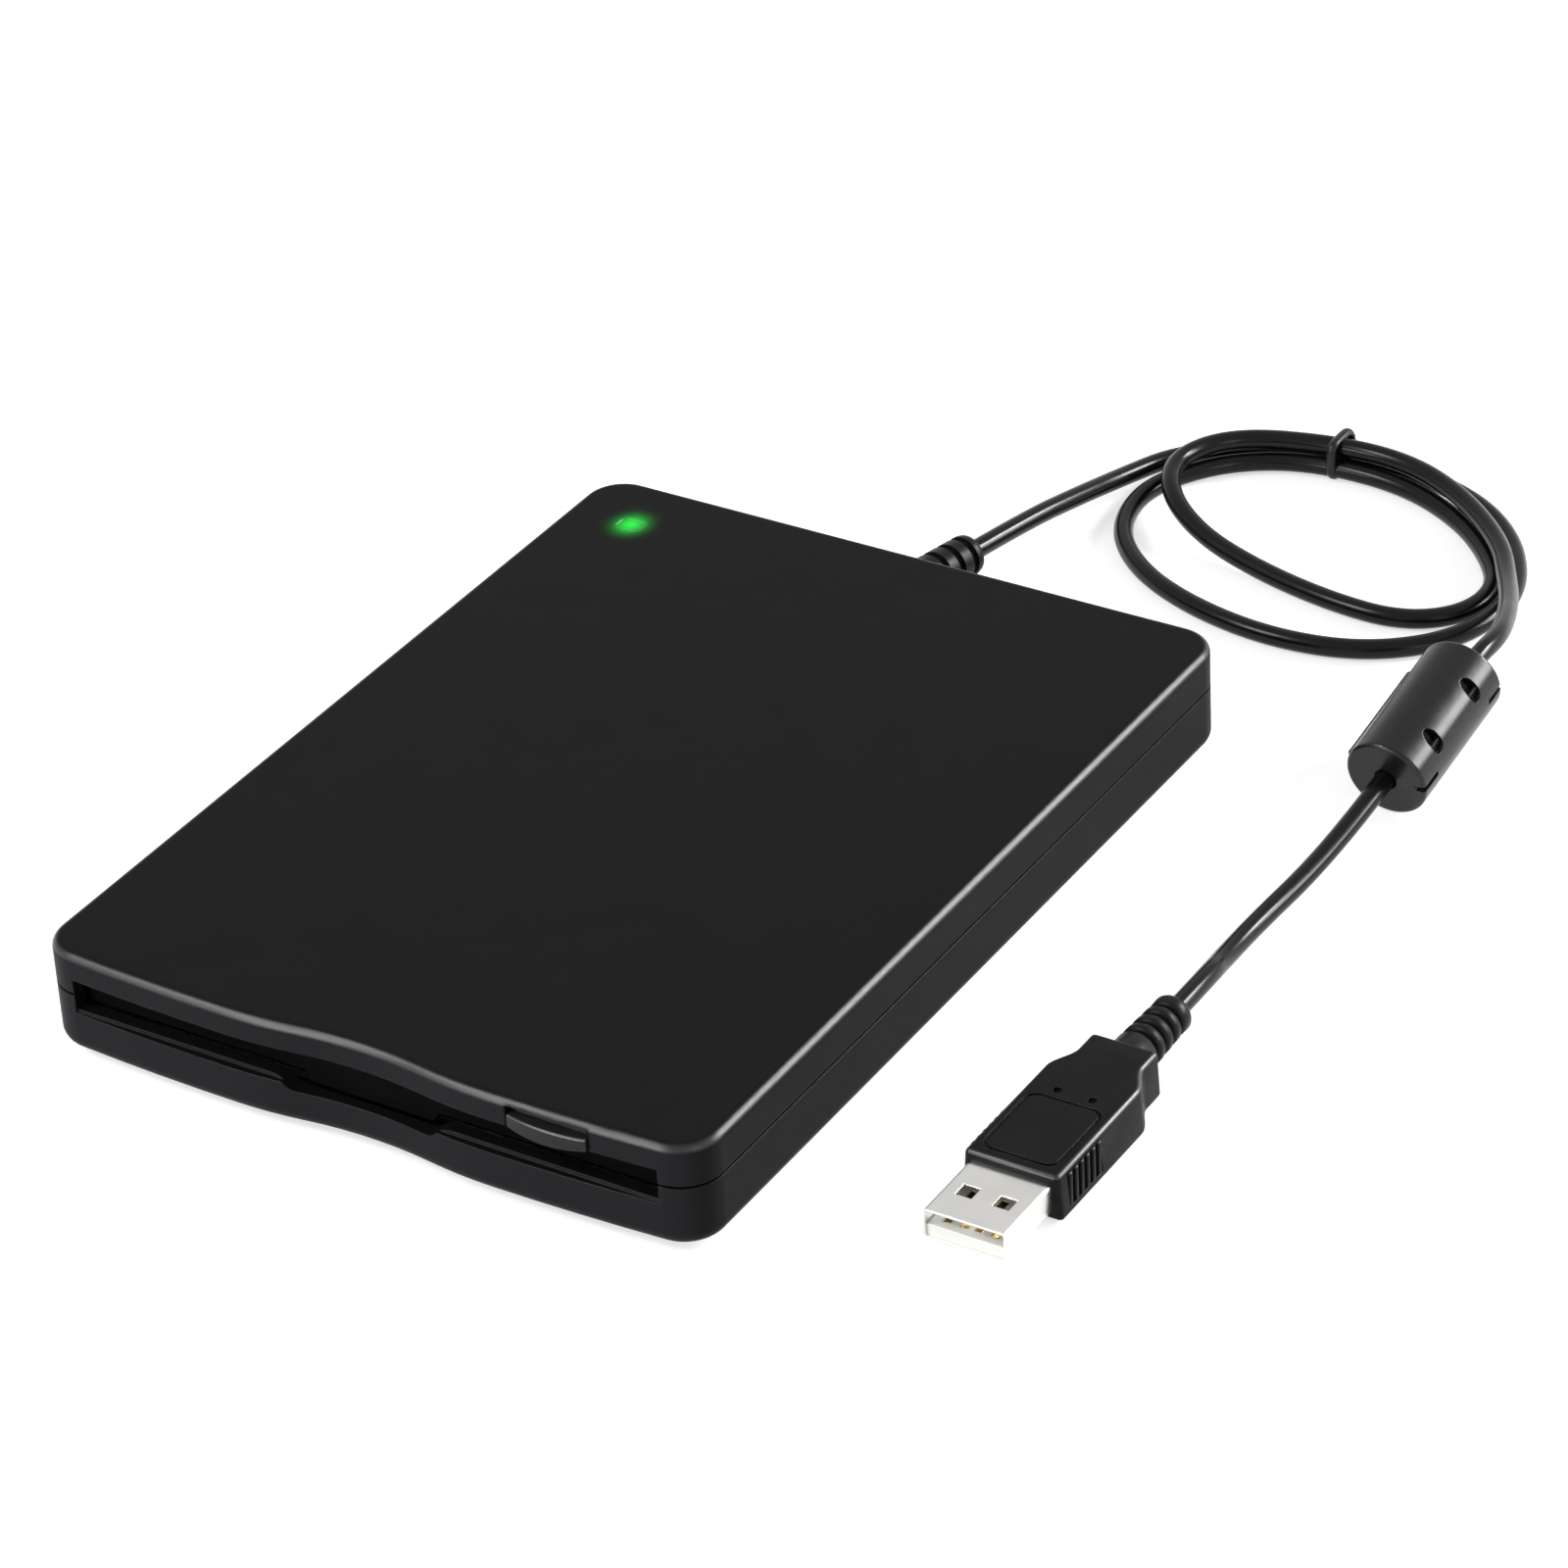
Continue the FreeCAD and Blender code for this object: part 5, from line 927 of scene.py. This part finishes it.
# %% Wind the lead screw
SCREW_TAIL = 3.9 * MM
SCREW_PITCH = 3 * MM
THREAD_WIRE = 0.3 * MM
screw_low, screw_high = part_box("lead_screw")
thread_end = Vector((screw_high.x, screw_high.y - SCREW_TAIL, screw_high.z))
screw_radius = (screw_high.x - screw_low.x) / 2
screw = wind("lead_screw_thread", (screw_low, thread_end),
             (thread_end.y - screw_low.y) / SCREW_PITCH, THREAD_WIRE,
             **{"Has core": True, "Core": screw_radius - THREAD_WIRE, "Tail": SCREW_TAIL,
                "Tail radius": screw_radius / 2})
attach(screw, "screw")
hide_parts("lead_screw")
print("screw:", round((thread_end.y - screw_low.y) / MM, 1), "mm of thread")

# %% [markdown]
# ## The slider's springs
#
# Two springs draw the slider to the front. Their front ends stay on the frame and their back
# ends go with the slider, so they shorten as it comes forward.

# %% Wind both springs
SPRING_WIRE = 0.25 * MM
SPRING_TURNS = 19
springs_low, springs_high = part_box("slider_springs")
spring_wide = springs_high.z - springs_low.z
for side, label in SIDES:
    outer = springs_high.x if side > 0 else springs_low.x
    inner = outer - side * spring_wide
    box = (Vector((min(outer, inner), springs_low.y, springs_low.z)),
           Vector((max(outer, inner), springs_high.y, springs_high.z)))
    spring = wind("slider_spring_" + label, box, SPRING_TURNS, SPRING_WIRE)
    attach(spring, "drive")
    if side < 0:
        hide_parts("slider_springs")
    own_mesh(spring)

# %% [markdown]
# ## The legs of the controller chip
#
# A flat chip stands on rows of tiny bent legs. One leg is a foot, a riser and a shoulder, one
# row is that leg repeated along a line, and the four sides are the same row turned by quarters.

# %% Stand the chip on its legs
LEGS_A_SIDE, LEG_PITCH, LEG_REACH = 16, 0.55 * MM, 5.35 * MM
FOOT = ((0.25, 0.7, 0.12), (0, 0.2, 0.06))
RISER = ((0.25, 0.12, 0.6), (0, -0.1, 0.36))
SHOULDER = ((0.25, 0.35, 0.12), (0, -0.25, 0.6))

leg_tree, leg_keys, leg_in, leg_out = new_tree("chip_legs", [
    ("Count", "NodeSocketInt", LEGS_A_SIDE), ("Pitch", "NodeSocketFloat", LEG_PITCH),
    ("Reach", "NodeSocketFloat", LEG_REACH)])


def moved(thing, **change):
    """A geometry of the leg's tree, moved or turned."""
    return add_node(leg_tree, "GeometryNodeTransform", {"Geometry": thing, **change}
                    ).outputs["Geometry"]


def leg_bar(size, shift):
    """One straight bit of a leg, with its size and place in mm."""
    bar = add_node(leg_tree, "GeometryNodeMeshCube", {"Size": [value * MM for value in size]})
    return moved(bar.outputs["Mesh"], Translation=[value * MM for value in shift])


leg = joined(leg_tree, *[leg_bar(size, shift) for size, shift in (FOOT, RISER, SHOULDER)])
half_gaps = maths(leg_tree, "MULTIPLY_ADD", leg_in.outputs["Count"], -0.5, 0.5)
row_start = vector_of(leg_tree, X=maths(leg_tree, "MULTIPLY", half_gaps, leg_in.outputs["Pitch"]),
                      Y=leg_in.outputs["Reach"])
leg_row = repeated(leg_tree, leg, leg_in.outputs["Count"], row_start,
                   vector_of(leg_tree, X=leg_in.outputs["Pitch"]))
four_rows = joined(leg_tree, *[moved(leg_row, Rotation=(0, 0, math.pi / 2 * quarter))
                               for quarter in range(4)])
finish_tree(leg_tree, four_rows, leg_out, FINISHES["screw_steel"])

board_low, board_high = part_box("controller_board")
board_middle = (board_low + board_high) / 2
chip_legs = grow("controller_chip_legs", leg_tree, leg_keys, {"Count": LEGS_A_SIDE},
                 Matrix.Translation((board_middle.x, board_middle.y, board_high.z)))
dress(chip_legs, FINISHES["screw_steel"])
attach(chip_legs, "drive")
print("chip legs:", 4 * LEGS_A_SIDE)

# %% [markdown]
# ## The floor
#
# The drive lies on white paper. The paper looks white to the camera and to shiny surfaces, and
# it still takes a soft, pale shadow. Paper that only reflected would need so much light that
# the black plastic turned grey, so it also glows a little, but only where it is looked at.

# %% Lay the floor
WHITE = (1, 1, 1, 1)
PAPER_GREY, PAPER_ROUGHNESS, PAPER_GLOW = (0.6, 0.6, 0.6, 1), 0.9, 0.62
FLOOR_REACH = 6.0


def seen_directly(tree):
    """One for rays that show the room: from the camera, off gloss or through glass."""
    rays = add_node(tree, "ShaderNodeLightPath").outputs
    share = maths(tree, "MAXIMUM", rays["Is Camera Ray"], rays["Is Glossy Ray"])
    return maths(tree, "MAXIMUM", share, rays["Is Transmission Ray"])


def white_paper():
    """Paper that glows faintly where it is looked at."""
    material = bpy.data.materials.new("white_paper")
    material.use_nodes = True
    tree = material.node_tree
    shader = tree.nodes["Principled BSDF"]
    shader.inputs["Base Color"].default_value = PAPER_GREY
    shader.inputs["Roughness"].default_value = PAPER_ROUGHNESS
    shader.inputs["Specular IOR Level"].default_value = 0.0
    shader.inputs["Emission Color"].default_value = WHITE
    tree.links.new(maths(tree, "MULTIPLY", seen_directly(tree), PAPER_GLOW),
                   shader.inputs["Emission Strength"])
    return material


corners = [(x * FLOOR_REACH, y * FLOOR_REACH, 0) for x, y in ((-1, -1), (1, -1), (1, 1), (-1, 1))]
floor_mesh = bpy.data.meshes.new("floor")
floor_mesh.from_pydata(corners, [], [(0, 1, 2, 3)])
floor_mesh.materials.append(white_paper())
floor = show("floor", floor_mesh)
print("floor:", 2 * FLOOR_REACH, "m wide")

# %% [markdown]
# ## The lamps
#
# Black plastic shows its shape through the bright lines that lamps draw on it. Five soft round
# lamps do that: a key lamp from the front left for the case's front edge, one from behind for
# its right edge, a weak one from the right, a low one for the front faces, and one that draws
# the long band of light on the round clamp.

# %% Hang the lamps
MIDDLE = (0.02, 0.03, 0.0)
LAMPS = [
    ("key", (-0.575, -0.66, 0.88), 0.4, 7),
    ("back_edge", (0.67, 0.88, 0.58), 0.28, 11),
    ("fill", (0.95, -0.45, 0.4), 0.5, 1.5),
    ("front", (-0.35, -1.15, 0.22), 0.5, 8),
    ("clamp_band", (0.9, 0.72, 0.42), 0.38, 7),
]


def soft_lamp(name, place, size, power):
    """A round lamp that looks at the middle of the object."""
    data = bpy.data.lights.new(name, "AREA")
    data.shape = "DISK"
    data.size = size
    data.energy = power
    lamp = show(name, data)
    lamp.location = place
    lamp.rotation_euler = (Vector(MIDDLE) - Vector(place)).to_track_quat("-Z", "Y").to_euler()


for row in LAMPS:
    soft_lamp(*row)
print(len(LAMPS), "lamps")

# %% [markdown]
# ## The room
#
# A white room surrounds the drive. To the camera and to shiny surfaces its walls are white and
# its ceiling is a little less so. As a source of light it is much weaker, so that black plastic
# stays black.

# %% Paint the room white
CEILING_FROM, CEILING_FULL = 0.2, 0.42
WALL_WHITE, CEILING_WHITE = 1.0, 0.75
ROOM_LIGHT = 0.42

world = bpy.data.worlds.new("white_room")
bpy.context.scene.world = world
world.use_nodes = True
tree = world.node_tree
tree.nodes.clear()
heading = add_node(tree, "ShaderNodeTexCoord")
upward = add_node(tree, "ShaderNodeSeparateXYZ", {"Vector": heading.outputs["Generated"]})
ceiling = remap(tree, upward.outputs["Z"], CEILING_FROM, CEILING_FULL, WALL_WHITE, CEILING_WHITE)
lit = add_node(tree, "ShaderNodeBackground", {"Color": WHITE, "Strength": ROOM_LIGHT})
shown = add_node(tree, "ShaderNodeBackground", {"Color": WHITE, "Strength": ceiling})
choose = add_node(tree, "ShaderNodeMixShader", {
    "Fac": seen_directly(tree), 1: lit.outputs["Background"], 2: shown.outputs["Background"]})
add_node(tree, "ShaderNodeOutputWorld", {"Surface": choose.outputs["Shader"]})
bpy.context.scene.view_settings.view_transform = "Standard"
print("a white room")
